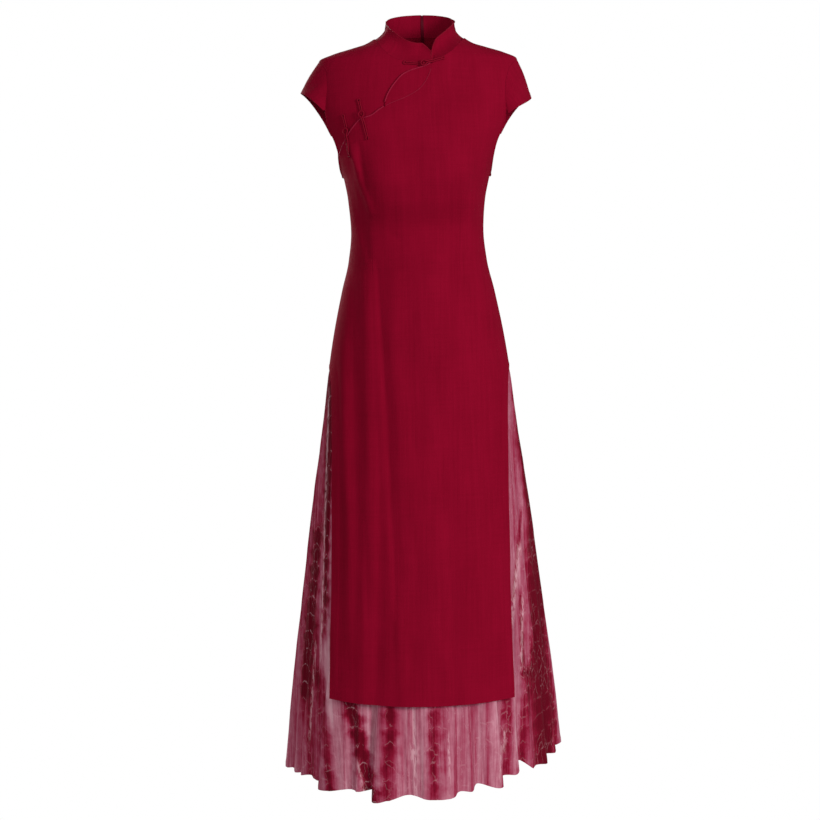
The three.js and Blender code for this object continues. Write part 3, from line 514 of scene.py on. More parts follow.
def relief(x, z, side):
    """How far the cloth stands off the form: folds, fullness and slow waves added together. Below zero
    it follows a tanh down to the limit, and it fades out at the side seams."""
    rise = fold_rise(FRONT_FOLDS if side == FRONT else BACK_FOLDS, x, z)
    for k in np.flatnonzero(FULLNESS["side"] == side):
        across = (np.abs(x) - FULLNESS["x"][k]) / FULLNESS["wide"][k]
        up = (z - FULLNESS["z"][k]) / FULLNESS["tall"][k]
        rise += FULLNESS["rise"][k] * np.exp(-across * across - up * up)
    rise += ripple(SWAY, x * MM, z * MM) * smooth(SWAY_FROM_Z, SWAY_FULL_Z, z)
    rise = np.where(rise < 0, DEEPEST * np.tanh(rise / DEEPEST), rise)
    return rise * smooth(0, SEAM_CALM, np.abs(form_y(x, z, side)))


def on_dress(x, z, side, out=0.0):
    """A point on the dress, moved out from its cloth's outer face."""
    x, z = np.broadcast_arrays(np.asarray(x, float), np.asarray(z, float))
    y = form_y(x, z, side)
    normal = form_normal(x, y, z, side)
    away = relief(x, z, side) + out
    point = np.stack([x, y, z], axis=-1) + normal * np.asarray(away)[..., None]
    point[..., 1] = side * np.maximum(side * point[..., 1], SEAM / 2)
    return point


def dress_normal(x, z, side):
    """Outward direction of the form under a point on the dress."""
    x, z = np.broadcast_arrays(np.asarray(x, float), np.asarray(z, float))
    return form_normal(x, form_y(x, z, side), z, side)


def girth(x, z, side, points=25):
    """Distance round the level section from its middle to x, summed over short chords."""
    turn = np.arcsin(np.clip(x / half_at(z), -1, 1))[..., None] * np.linspace(0, 1, points)
    across = half_at(z)[..., None] * np.sin(turn)
    deep = form_y(across, z[..., None], side)
    return np.sign(x) * np.hypot(np.diff(across), np.diff(deep)).sum(axis=-1)


def edge_at(z):
    """The panels' edge: armhole, side seam, then slit."""
    return np.where(z > UNDERARM_Z, armhole_at(z), np.where(z > SLIT_Z, half_at(z), panel_edge_at(z)))


slant_x = np.linspace(SLANT["x"][0], SLANT["x"][-1], 60)


def overlap_lift(x, z):
    """The front lies out over the yoke near its slanted edge: the whole lift on a flat strip, then an
    ease down to none, by the distance to the nearest point of the edge."""
    far = np.hypot(np.subtract.outer(x, slant_x), np.subtract.outer(z, slant_at(slant_x))).min(axis=-1)
    return OVERLAP_LIFT * (1 - smooth(OVERLAP_FLAT, OVERLAP_FADE, far))


def layer_out(x, z):
    """Height of the topmost cloth at a place on the front."""
    over_front = (x > SLANT["x"][0]) | (z < slant_at(x))
    over_petal = (x > PETAL_ARC["x"][-1]) & (z < petal_at(x))
    return np.where(over_front, overlap_lift(x, z), np.where(over_petal, OVERLAP_LIFT, 0))


def neck_z(x, side):
    """The neck edge's level: flat in the middle, and up to 0 at the side with the cube of the share."""
    low = NECK_FRONT_Z if side == FRONT else NECK_BACK_Z
    return low * (1 - np.minimum(np.abs(x) / NECK_HALF, 1) ** 3)


# ---- making meshes ---------------------------------------------------------------------------


def leaned(points):
    """Points moved sideways as the shoulders and collar lean."""
    points = np.array(points, float)
    points[..., 0] += LEAN * smooth(LEAN_FROM_Z, LEAN_TO_Z, points[..., 2])
    return points


def add_mesh(name, points, faces, uv, finish, fields=None, sharp=50):
    """A mesh object at the origin from points in millimetres, with its cloth map in metres and any
    fields that a finish reads, a number for each point."""
    mesh = bpy.data.meshes.new(name)
    mesh.from_pydata((leaned(points) * MM).tolist(), [], [list(face) for face in faces])
    for title, values in (fields or {}).items():
        mesh.attributes.new(title, "FLOAT", "POINT").data.foreach_set("value", values.astype(np.float32))
    layer = mesh.uv_layers.new(name="cloth")
    corners = np.zeros(len(mesh.loops), np.int32)
    mesh.loops.foreach_get("vertex_index", corners)
    layer.data.foreach_set("uv", (np.asarray(uv) * MM)[corners].astype(np.float32).ravel())
    mesh.polygons.foreach_set("use_smooth", np.ones(len(mesh.polygons), bool))
    mesh.set_sharp_from_angle(angle=math.radians(sharp))
    mesh.materials.append(finish)
    mesh.update()
    piece = bpy.data.objects.new(name, mesh)
    bpy.context.scene.collection.objects.link(piece)
    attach(piece, "root")
    return piece


def grid_normals(grid, outward):
    """Unit normals of a grid: the cross product of its rises along both ways, turned outwards."""
    normals = unit(np.cross(np.gradient(grid, axis=0), np.gradient(grid, axis=1)))
    return normals if (normals * outward).sum() > 0 else -normals


def shell(name, outer, thick, uv, outward, finish, fields=None):
    """A closed cloth wall: a grid, its copy moved in along the normals, and a strip that joins them."""
    rows, columns = outer.shape[:2]
    count = rows * columns
    inner = outer - thick * grid_normals(outer, outward)
    points = np.concatenate([outer.reshape(-1, 3), inner.reshape(-1, 3)])
    index = np.arange(count).reshape(rows, columns)
    face = np.stack([index[:-1, :-1], index[1:, :-1], index[1:, 1:], index[:-1, 1:]], axis=-1)
    face = face.reshape(-1, 4)
    border = np.concatenate([index[0, :-1], index[:-1, -1], index[-1, :0:-1], index[:0:-1, 0]])
    after = np.roll(border, -1)
    rim = np.stack([border, after, after + count, border + count], axis=-1)
    faces = np.concatenate([face, face[:, ::-1] + count, rim])
    a, b, c, d = (points[faces[:, k]] for k in range(4))
    volume = (a * np.cross(b, c) + a * np.cross(c, d)).sum()
    if volume < 0:
        faces = faces[:, ::-1]
    flat = uv.reshape(-1, 2)
    both = {title: np.tile(values.ravel(), 2) for title, values in (fields or {}).items()}
    return add_mesh(name, points, faces.tolist(), np.concatenate([flat, flat]), finish, both)


def tube(name, path, up, radius, finish, sides=12, closed=False):
    """A cord: a ring carried along a path, square to it, with a flat face on each open end. The map
    runs along its length and round its ring."""
    ahead = np.roll(path, -1, axis=0) - np.roll(path, 1, axis=0) if closed else np.gradient(path, axis=0)
    ahead = unit(ahead)
    across = unit(np.cross(ahead, up))
    above = np.cross(across, ahead)
    turn = np.linspace(0, 2 * np.pi, sides, endpoint=False)
    radius = np.broadcast_to(np.asarray(radius, float), (len(path),))[:, None, None]
    ring = np.cos(turn)[:, None] * across[:, None] + np.sin(turn)[:, None] * above[:, None]
    points = (path[:, None] + radius * ring).reshape(-1, 3)
    index = np.arange(len(points)).reshape(len(path), sides)
    following = np.roll(index, -1, axis=0) if closed else index[1:]
    current = index if closed else index[:-1]
    corners = [current, following, np.roll(following, -1, axis=1), np.roll(current, -1, axis=1)]
    faces = np.stack(corners, axis=-1).reshape(-1, 4).tolist()
    if not closed:
        faces += [index[0].tolist(), index[-1][::-1].tolist()]
    run = np.repeat(run_of(path), sides)
    uv = np.stack([run, np.tile(turn, len(path)) * radius.max()], axis=1)
    return add_mesh(name, points, faces, uv, finish)


def ring_faces(rings, sides):
    """Faces that join rings of points in their order, and one face on each end ring."""
    index = np.arange(rings * sides).reshape(rings, sides)
    after = np.roll(index, -1, axis=1)
    faces = np.stack([index[:-1], after[:-1], after[1:], index[1:]], axis=-1).reshape(-1, 4).tolist()
    return faces + [index[0][::-1].tolist(), index[-1].tolist()]


def spindle(length, width, height, stations=4, sides=6):
    """A small rounded bar along X, from rings of an ellipse: over a half turn t the bar runs with
    -cos(t), and a ring swells with sin(t) to the power 0.6."""
    t = np.linspace(0, np.pi, stations + 2)[1:-1]
    turn = np.linspace(0, 2 * np.pi, sides, endpoint=False)
    x = -np.cos(t)[:, None] * length / 2 * np.ones(sides)
    swell = np.sin(t)[:, None] ** 0.6
    y = swell * np.cos(turn) * width / 2
    z = swell * np.sin(turn) * height / 2
    return np.stack([x, y, z], axis=-1).reshape(-1, 3), ring_faces(stations, sides)


# How far apart the copies of a shape lie on their cloth map.
MAP_STEP = 3.0


def copies(name, shape, places, along, up, finish):
    """One mesh of many copies of a small shape, each at a place, its X along and its Z up."""
    points, faces = shape
    along = unit(along)
    across = unit(np.cross(up, along))
    up = np.cross(along, across)
    moved = (
        places[:, None]
        + points[None, :, :1] * along[:, None]
        + points[None, :, 1:2] * across[:, None]
        + points[None, :, 2:] * up[:, None]
    ).reshape(-1, 3)
    step = len(points)
    every = [[i + k * step for i in face] for k in range(len(places)) for face in faces]
    apart = np.repeat(np.arange(len(places)), step)[:, None] * MAP_STEP
    uv = np.tile(points[:, :2], (len(places), 1)) + apart
    return add_mesh(name, moved, every, uv, finish)


# ---- shader values ---------------------------------------------------------------------------


class Wire:
    """A socket of a shader. Arithmetic on it adds Math nodes, and node() adds any other kind."""

    def __init__(self, tree, socket=None):
        self.tree = tree
        self.socket = socket

    def node(self, kind, settings=None, inputs=None, out=0):
        """A wire from a new node of that kind, with its settings and its sockets' values or links."""
        made = self.tree.nodes.new(kind)
        for key, value in (settings or {}).items():
            if key == "stops":
                ramp = made.color_ramp
                while len(ramp.elements) < len(value):
                    ramp.elements.new(1.0)
                for element, (at, colour) in zip(ramp.elements, value):
                    element.position = at
                    element.color = (*colour, 1.0)
            else:
                setattr(made, key, value)
        for key, value in (inputs or {}).items():
            if isinstance(value, Wire):
                self.tree.links.new(value.socket, made.inputs[key])
            else:
                made.inputs[key].default_value = value
        return Wire(self.tree, made.outputs[out])

    def math(self, operation, *values):
        inputs = {k: value for k, value in enumerate((self, *values))}
        return self.node("ShaderNodeMath", {"operation": operation}, inputs)

    def flipped(self, operation, value):
        """The same with the value first and this wire second."""
        return self.node("ShaderNodeMath", {"operation": operation}, {0: value, 1: self})

    def __add__(self, other):
        return self.math("ADD", other)

    __radd__ = __add__

    def __mul__(self, other):
        return self.math("MULTIPLY", other)

    __rmul__ = __mul__

    def __sub__(self, other):
        return self.math("SUBTRACT", other)

    def __rsub__(self, other):
        return self.flipped("SUBTRACT", other)

    def __truediv__(self, other):
        return self.math("DIVIDE", other)

    def __rtruediv__(self, other):
        return self.flipped("DIVIDE", other)

    def __abs__(self):
        return self.math("ABSOLUTE")

    def ease(self, low, high):
        """0 below low and 1 above high, rising smoothly; low may be above high for a fall."""
        settings = {"interpolation_type": "SMOOTHSTEP"}
        if isinstance(low, Wire) or isinstance(high, Wire) or low < high:
            return self.node("ShaderNodeMapRange", settings, {0: self, 1: low, 2: high})
        return 1 - self.node("ShaderNodeMapRange", settings, {0: self, 1: high, 2: low})

    def blend(self, first, second):
        """Colours mixed by this wire: the first at 0 and the second at 1."""
        inputs = {0: self}
        for key, colour in ((6, first), (7, second)):
            inputs[key] = colour if isinstance(colour, Wire) else (*colour, 1.0)
        return self.node("ShaderNodeMix", {"data_type": "RGBA"}, inputs, out=2)


def cloth_place(wire):
    """The cloth map's two directions, in metres."""
    place = wire.node("ShaderNodeUVMap", {"uv_map": "cloth"})
    return (
        wire.node("ShaderNodeSeparateXYZ", {}, {0: place}, out="X"),
        wire.node("ShaderNodeSeparateXYZ", {}, {0: place}, out="Y"),
    )


def noise(u, v, across, down, detail=2.0, rough=0.5):
    """Noise over the cloth map, with its own number of features a metre each way."""
    at = u.node("ShaderNodeCombineXYZ", {}, {0: u * across, 1: v * down})
    return u.node(
        "ShaderNodeTexNoise",
        {"noise_dimensions": "2D"},
        {"Vector": at, "Scale": 1.0, "Detail": detail, "Roughness": rough},
    )


def dye(red, green, blue):
    """A colour given as it shows on a screen, from 0 to 255, as the light that a shader takes."""
    shown = np.array([red, green, blue]) / 255
    return tuple(np.where(shown <= 0.04045, shown / 12.92, ((shown + 0.055) / 1.055) ** 2.4))


def new_finish(name, metal=0.0, sheen=0.0, sheen_tint=(1, 1, 1), sheen_rough=0.5, specular=0.5, coat=0.0):
    """A material with only its constant sockets set, and a wire to build the rest from."""
    finish = bpy.data.materials.new(name)
    finish.use_nodes = True
    shader = finish.node_tree.nodes["Principled BSDF"]
    shader.inputs["Metallic"].default_value = metal
    shader.inputs["Sheen Weight"].default_value = sheen
    shader.inputs["Sheen Tint"].default_value = (*sheen_tint, 1.0)
    shader.inputs["Sheen Roughness"].default_value = sheen_rough
    shader.inputs["Specular IOR Level"].default_value = specular
    shader.inputs["Coat Weight"].default_value = coat
    return finish, shader, Wire(finish.node_tree)


def connect(shader, colour, roughness, height, depth, strength=1.0):
    """Colour, roughness and a bump of that depth in metres into the shader."""
    links = shader.id_data.links
    links.new(colour.socket, shader.inputs["Base Color"])
    links.new(roughness.socket, shader.inputs["Roughness"])
    bump = colour.node("ShaderNodeBump", {}, {"Height": height, "Distance": depth, "Strength": strength})
    links.new(bump.socket, shader.inputs["Normal"])


# ---- finishes --------------------------------------------------------------------------------

CRIMSON_DEEP = dye(112, 2, 26)
CRIMSON_LIGHT = dye(146, 8, 42)
# In metres, as the cloth map is: two threads of the linen, half a seam's dent, and a satin thread.
THREAD_PITCH = 0.00115
SEAM_LINE = 0.0016
TWIST_PITCH = 0.0009


def field(wire, title):
    """A number that the piece's points carry."""
    return wire.node("ShaderNodeAttribute", {"attribute_name": title}, out="Fac")


def seam_mask(u, v, seams, half):
    """Thin seams on the cloth map: 1 on each straight line from (u0, v0) down to (u1, v1), in metres,
    easing to 0 at half the seam's width and towards both ends of the line."""
    total = None
    for u0, v0, u1, v1 in seams:
        along = ((v0 - v) / (v0 - v1)).math("MINIMUM", 1.0).math("MAXIMUM", 0.0)
        far = abs(u - (along * (u1 - u0) + u0))
        inside = (along * (1 - along)).ease(0.0, 0.02)
        line = far.ease(half, half * 0.25) * inside
        total = line if total is None else total.math("MAXIMUM", line)
    return total


def linen(name, seams=()):
    """Slubby plain-weave linen: crossing threads, thick and thin, in a slightly uneven crimson."""
    finish, shader, wire = new_finish(
        name, sheen=0.03, sheen_tint=CRIMSON_LIGHT, sheen_rough=0.6, specular=0.03
    )
    u, v = cloth_place(wire)
    thread = 2 * math.pi / THREAD_PITCH
    weave = (u * thread).math("SINE") * (v * thread).math("SINE")
    warp = noise(u, v, 620, 18, 3, 0.6)
    weft = noise(u, v, 16, 560, 3, 0.6)
    crinkle = noise(u, v, 150, 5, 3, 0.6)
    cloud = noise(u, v, 16, 11, 3)
    uneven = (warp - 0.5) * 0.4 + (weft - 0.5) * 0.28 + (crinkle - 0.5) * 0.36 + (cloud - 0.5) * 0.4
    tone = 0.5 + uneven + weave * 0.08
    colour = tone.blend(CRIMSON_DEEP, CRIMSON_LIGHT)
    height = weave * 0.35 + warp * 0.7 + weft * 0.7 + crinkle * 1.3
    if seams:
        line = seam_mask(u, v, seams, SEAM_LINE)
        colour = (line * 0.2).blend(colour, CRIMSON_DEEP)
        height = height - line * 1.5
    roughness = 0.84 + (warp - 0.5) * 0.12
    connect(shader, colour, roughness, height, 0.0002, 0.8)
    return finish


def bias_satin(name, pale, dark):
    """Bias-cut satin round a cord: fine slanting threads and a soft gloss."""
    finish, shader, wire = new_finish(name, specular=0.05)
    u, v = cloth_place(wire)
    twist = ((u + v) * (2 * math.pi / TWIST_PITCH)).math("SINE")
    uneven = noise(u, v, 420, 300, 3)
    tone = 0.5 + twist * 0.16 + (uneven - 0.5) * 0.5
    colour = tone.ease(0.15, 0.9).blend(dark, pale)
    connect(shader, colour, 0.56 + (uneven - 0.5) * 0.2, twist * 0.5 + uneven, 0.00012, 0.8)
    return finish


RESIST = dye(226, 176, 186)
# The crepe's colours from undyed to fully dyed.
DYE_STOPS = [
    (0.05, dye(214, 156, 170)),
    (0.26, dye(192, 120, 138)),
    (0.42, dye(172, 88, 110)),
    (0.58, dye(158, 52, 80)),
    (0.74, dye(136, 14, 46)),
    (0.95, dye(102, 2, 26)),
]


def tie_dye(name):
    """Bound and dyed crepe. The piece's own fields give how deep the dye is, where it lies on a beaded
    band and where the binding kept it out; fine streaks down the cloth break all of them up."""
    finish, shader, wire = new_finish(name, sheen=0.05, sheen_tint=RESIST, sheen_rough=0.5, specular=0.06)
    u, v = cloth_place(wire)
    fine = noise(u, v, 560, 13, 3, 0.6)
    streak = noise(u, v, 170, 5, 3, 0.6)
    broad = noise(u, v, 34, 3.4, 2)
    blotch = noise(u, v, 90, 55, 3, 0.6)
    off = abs(field(wire, "dye_off"))
    bead = field(wire, "dye_bead")
    turn = (field(wire, "dye_run") - off * 0.22 + (blotch - 0.5) * 0.5).math("FRACT")
    from_mark = abs(turn - 0.5)
    deep = field(wire, "dye_deep") + (fine - 0.5) * 0.3 + (streak - 0.5) * 0.5 + (broad - 0.5) * 0.45
    deep = deep + bead * (from_mark.ease(0.08, 0.3) * 0.16 - 0.05) + (blotch - 0.5) * (0.22 + bead * 0.5)
    colour = deep.node("ShaderNodeValToRGB", {"stops": DYE_STOPS}, {0: deep})
    # the binding's marks: a chevron between two beads, and pale broken threads
    chevron = from_mark.ease(0.055, 0.01) * off.ease(1.25, 0.7) * bead
    chevron = chevron * noise(u, v, 120, 90, 2).ease(0.38, 0.6)
    thread = field(wire, "dye_resist") * noise(u, v, 260, 62, 3, 0.6).ease(0.38, 0.56)
    crazed = wire.node("ShaderNodeCombineXYZ", {}, {0: u * 120 + blotch * 1.5, 1: v * 26})
    crack = wire.node(
        "ShaderNodeTexVoronoi",
        {"feature": "DISTANCE_TO_EDGE", "voronoi_dimensions": "2D"},
        {"Vector": crazed, "Scale": 1.0},
    )
    net = crack.ease(0.06, 0.005) * noise(u, v, 30, 12, 2).ease(0.46, 0.6)
    pale = (chevron * 0.42 + thread * 0.7 + net * 0.17).math("MINIMUM", 0.85)
    colour = pale.blend(colour, RESIST)
    crepe = noise(u, v, 1900, 1500, 2)
    height = streak * 2.2 + fine * 1.1 + crepe * 0.7 + crack.ease(0.0, 0.12) * 0.4
    connect(shader, colour, 0.8 + (fine - 0.5) * 0.15, height, 0.0005, 0.8)
    return finish


def enamel(name):
    """Enamelled metal, worn a little paler on rubbed patches."""
    finish, shader, wire = new_finish(name, metal=0.55, specular=0.5, coat=0.25)
    place = wire.node("ShaderNodeTexCoord", out="Object")
    rub = wire.node("ShaderNodeTexNoise", {}, {"Vector": place, "Scale": 420.0, "Detail": 3.0})
    worn = rub.ease(0.56, 0.7)
    colour = (worn * 0.5).blend(dye(104, 6, 28), dye(176, 92, 96))
    connect(shader, colour, 0.3 + rub * 0.2, rub, 0.00005, 0.5)
    return finish


def nylon(name):
    """Moulded nylon of the zip's coil and its woven tape, dark crimson: partly its own colour and partly
    painted shade of the narrow gap between the collar halves where it shows.
    """
    finish, shader, wire = new_finish(name, specular=0.04)
    u, v = cloth_place(wire)
    grain = noise(u, v, 900, 900, 2)
    colour = grain.blend(dye(70, 1, 18), dye(92, 4, 26))
    connect(shader, colour, 0.45 + grain * 0.2, grain, 0.00008, 0.6)
    return finish


def plain(name, shade, roughness):
    """The studio's own surface, with a faint unevenness."""
    finish, shader, wire = new_finish(name, specular=0.2)
    place = wire.node("ShaderNodeTexCoord", out="Object")
    grain = wire.node("ShaderNodeTexNoise", {}, {"Vector": place, "Scale": 3.0, "Detail": 2.0})
    colour = grain.blend(tuple(0.985 * c for c in shade), shade)
    connect(shader, colour, roughness + (grain - 0.5) * 0.02, grain, 0.0005, 0.1)
    return finish


# ---- the dress panels ------------------------------------------------------------------------

# The hem and slits are turned under by these widths: each turn stands out by its rise, and falls off
# over a soft edge on either side of its width.
HEM_TURN = 22
HEM_SOFT = 1.5
SLIT_TURN = 14
SLIT_SOFT = 1.2
TURN_RISE = 0.55
FAR = 1e3

# The panel spreads out over this stretch below the slits.
SPREAD_OVER = 130

# The slanted edge's own points lie between these places across, and it meets the wearer's right
# armhole between the other two.
SLANT_OWN = (-141, 26)
SLANT_MEETS = (-150, -138)

# Where the front and the yoke end on the neck edge, in degrees round it from the wearer's left.
FRONT_NECK_END = 71.1
YOKE_NECK_END = 71.5
# The yoke reaches down to between these levels, under the slanted edge.
YOKE_HIGH_Z = -54.0
YOKE_LOW_Z = -256.0


def hung(x, z):
    """The long front panel spreads a little below the slits and swings to the wearer's right."""
    spread = 1 + PANEL_SPREAD * smooth(SLIT_Z, SLIT_Z - SPREAD_OVER, z)
    return x * spread + PANEL_SHIFT * smooth(SLIT_Z, PANEL_HEM_Z, z)


def even_in(count, low, high):
    """Numbers from low to high, crowded at the ends that are near -1 or 1."""
    return np.sin(np.linspace(math.asin(low), math.asin(high), count))


def neck_points(from_degrees, to_degrees, side, count=40):
    """The neck edge between two angles: x is the neck's half width times the cosine."""
    turn = np.radians(np.linspace(from_degrees, to_degrees, count))
    x = NECK_HALF * np.cos(turn)
    return np.stack([x, neck_z(x, side)], axis=1)


def shoulder_points(hand, count=40):
    """The shoulder seam from the neck out: x is the half width at levels that fall with t^1.3."""
    z = np.linspace(0, SHOULDER_Z, count)[1:] * np.linspace(0, 1, count)[1:] ** 0.3
    return np.stack([hand * half_at(z), z], axis=1)


def slant_points(count=90, tries=4000):
    """The slanted edge. It starts where it meets the armhole, x = -armhole(slant(x)), which is read off
    a fine row of tries, and goes on through its own points to the neck."""
    x = np.linspace(*SLANT_MEETS, tries)
    end = np.interp(0, x + armhole_at(slant_at(x)), x)
    x = np.concatenate([[end], np.linspace(*SLANT_OWN, count)])
    return np.stack([x, slant_at(x)], axis=1)


def turned_hem(x, z):
    """Cloth folded under along the panel hem and slits stands out a little, up to a soft edge."""
    to_hem = z - PANEL_HEM_Z
    to_slit = np.where(z < SLIT_Z, edge_at(z) - np.abs(x), FAR)
    at_hem = 1 - smooth(HEM_TURN - HEM_SOFT, HEM_TURN + HEM_SOFT, to_hem)
    at_slit = 1 - smooth(SLIT_TURN - SLIT_SOFT, SLIT_TURN + SLIT_SOFT, to_slit)
    return TURN_RISE * np.maximum(at_hem, at_slit)


# A corner of an outline bends by more than this from one point to the next.
SHARP_BEND = 2


def panel(side, hand, tops, centre, bottom, upper, body, out, columns):
    """A panel's outer face and cloth map. Each column keeps its share of the width between the centre
    line and the panel's edge, from the outline above down to a bottom level and on through the body.
    The outline's sharp corners get a column each."""
    middle = centre(tops[:, 1])
    share = (tops[:, 0] - middle) / (hand * edge_at(tops[:, 1]) - middle)
    order = np.argsort(share)
    share, tops = share[order], tops[order]
    bend = np.abs(np.gradient(np.gradient(tops[:, 1])))
    corners = share[bend > SHARP_BEND]
    wanted = np.unique(np.round(np.concatenate([even_in(columns, share[0], share[-1]), corners]), 5))
    top_z = np.interp(wanted, share, tops[:, 1])

    def x_at(z):
        return mix(centre(z), hand * edge_at(z), wanted)

    bottom_z = bottom(x_at)
    part = np.linspace(0, 1, upper) ** 1.5
    z = mix(top_z, bottom_z, part[:, None])
    if len(body):
        z = np.concatenate([z, np.repeat(body[:, None], len(wanted), axis=1)])
    x = x_at(z)
    if hand == RIGHT:
        x, z = x[:, ::-1], z[:, ::-1]
    outer = on_dress(hung(x, z) if side == FRONT else x, z, side, out(x, z))
    return outer, cloth_map(outer)


def cloth_map(grid):
    """Distance round each row from the middle of the dress, and the level, in millimetres."""
    run = np.hypot(np.diff(grid[..., 0], axis=1), np.diff(grid[..., 1], axis=1))
    run = np.concatenate([np.zeros((len(grid), 1)), np.cumsum(run, axis=1)], axis=1)
    from_middle = np.array([np.interp(0, row[:, 0], along) for row, along in zip(grid, run)])
    return np.stack([run - from_middle[:, None], grid[..., 2]], axis=-1)


def body_levels(step=4.3):
    """Even levels from under the arms down to the hem."""
    rows = int((UNDERARM_Z - PANEL_HEM_Z) / step) + 1
    return np.linspace(UNDERARM_Z, PANEL_HEM_Z, rows)[1:]


def front_grid():
    """The front: its outline runs up the slanted edge, round the neck and along the shoulder."""
    neck = neck_points(FRONT_NECK_END, 0, FRONT)
    return panel(
        FRONT,
        LEFT,
        np.concatenate([slant_points(), neck, shoulder_points(LEFT)]),
        centre=lambda z: 0 * z,
        bottom=lambda x_at: UNDERARM_Z,
        upper=50,
        body=body_levels(),
        out=lambda x, z: overlap_lift(x, z) + turned_hem(x, z),
        columns=150,
    )


def yoke_grid(halvings=40):
    """The yoke: from the shoulder and neck down to a line that lies under the slanted edge."""
    neck = neck_points(180, YOKE_NECK_END, FRONT)

    def bottom(x_at):
        """The level where each column meets that line, z = slant(x) - UNDERLAP, by halving."""
        low = 0 * x_at(YOKE_LOW_Z) + YOKE_LOW_Z
        high = 0 * low + YOKE_HIGH_Z
        for _ in range(halvings):
            middle = (low + high) / 2
            past = middle - (slant_at(x_at(middle)) - UNDERLAP) > 0
            low, high = np.where(past, low, middle), np.where(past, middle, high)
        return low

    return panel(
        FRONT,
        RIGHT,
        np.concatenate([shoulder_points(RIGHT)[::-1], neck]),
        centre=lambda z: 0 * z,
        bottom=bottom,
        upper=48,
        body=[],
        out=lambda x, z: 0 * x,
        columns=80,
    )


def back_grid(hand):
    """A back: its outline runs from the zip round the neck and along the shoulder, and its centre line
    steps in from the zip's gap to a seam's at the zip's end."""
    zip_edge = ZIP_X + hand * ZIP_GAP / 2
    neck = neck_points(math.degrees(math.acos(zip_edge / NECK_HALF)), 0 if hand == LEFT else 180, BACK)
    return panel(
        BACK,
        hand,
        np.concatenate([neck, shoulder_points(hand)]),
        centre=lambda z: ZIP_X + hand * np.where(z >= ZIP_END_Z, ZIP_GAP, SEAM) / 2,
        bottom=lambda x_at: UNDERARM_Z,
        upper=50,
        body=body_levels(),
        out=turned_hem,
        columns=84,
    )


front_outer, front_map = front_grid()
yoke_outer, yoke_map = yoke_grid()
back_outer, back_map = {}, {}
for hand in (LEFT, RIGHT):
    back_outer[hand], back_map[hand] = back_grid(hand)

# The waist darts, two in front and two behind, each from its upper end to its lower one.
DARTS = table(
    "side x z end_x end_z",
    (-1, -86, -272, -85, -440),
    (-1, 80, -292, 78, -452),
    (1, -70, -270, -66, -470),
    (1, 76, -270, 72, -470),
)


def darts_of(side):
    """One side's darts as lines on the cloth map, in metres."""
    chosen = DARTS["side"] == side
    first = girth(DARTS["x"][chosen], DARTS["z"][chosen], side)
    last = girth(DARTS["end_x"][chosen], DARTS["end_z"][chosen], side)
    ends = [first, DARTS["z"][chosen], last, DARTS["end_z"][chosen]]
    return [tuple(float(value) * MM for value in dart) for dart in zip(*ends)]


linen_front = linen("linen_front", darts_of(FRONT))
linen_back = linen("linen_back", darts_of(BACK))
linen_plain = linen("linen_plain")
satin = bias_satin("bias_satin", dye(148, 12, 42), dye(108, 2, 26))
# The piping's satin is a paler copy of the frogs' satin: a painted highlight of light catching the raised
# piping and the inset's fold.
piping_satin_painted_highlight = bias_satin("piping_satin_painted_highlight", dye(172, 36, 68), dye(122, 8, 36))
dyed = tie_dye("tie_dye_crepe")
enamelled = enamel("zip_enamel")
zip_nylon_and_gap_shade = nylon("zip_nylon_and_gap_shade")


def face_out(grid):
    """Rough outward directions, away from the upright axis of the dress."""
    return grid * (1, 1, 0)


def add_panel(name, grid, place, finish, node):
    """A cloth panel from its outer face, in place of the imported part that it hides."""
    piece = shell(name, grid, CLOTH, place, face_out(grid), finish)
    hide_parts(node)
    return piece


add_panel("front_panel", front_outer, front_map, linen_front, "front")
add_panel("yoke_panel", yoke_outer, yoke_map, linen_plain, "front_yoke")
for hand, name in ((LEFT, "back_left"), (RIGHT, "back_right")):
    add_panel(f"{name}_panel", back_outer[hand], back_map[hand], linen_back, name)


# ---- pieces sewn to the panels ---------------------------------------------------------------


def beyond(edge, behind, distance):
    """The edge's points moved past it, square to it and away from its cloth."""
    run = unit(np.gradient(edge, axis=0))
    away = edge - behind
    away -= (away * run).sum(axis=1, keepdims=True) * run
    return edge + unit(away) * distance


# The petal inset: sewn to the slanted edge, it lies over the yoke up to its arc, between two places
# across. It is never narrower than its least, and it puffs up from its edges by this much.
PETAL_ACROSS = (-56, 26)
PETAL_LEAST = 1.6
PETAL_PUFF = 0.5
PETAL_EASE = 9


def petal():
    """The inset's face: straight columns from the slanted edge up to the arc, puffed by an ease over
    the distance to the nearer of the two."""
    x = np.linspace(*PETAL_ACROSS, 64)
    seam_z = slant_at(x) + SEWN
    top_z = np.maximum(petal_at(x), slant_at(x) + PETAL_LEAST)
    z = mix(seam_z, top_z, np.linspace(0, 1, 14)[:, None])
    x = np.broadcast_to(x, z.shape)
    edge = np.minimum(z - z[0], z[-1] - z)
    puff = PETAL_PUFF * (smooth(0, PETAL_EASE, edge) - 0.5)
    grid = on_dress(x, z, FRONT, OVERLAP_LIFT + puff)
    return grid, np.stack([x, z], axis=-1)


petal_outer, petal_map = petal()
add_panel("petal_panel", petal_outer, petal_map, linen_plain, "petal_inset")


def beside(x, z, away):
    """Points moved off a line on the front, to its upper side."""
    step = unit(np.stack([np.gradient(x), np.gradient(z)], axis=1))
    return x - step[:, 1] * away, z + step[:, 0] * away


# The piping lies off the edge and out from the dress by a little more than its radius.
PIPING_BESIDE = 0.1
PIPING_OUT = 0.8
PIPING_TIP = 0.02


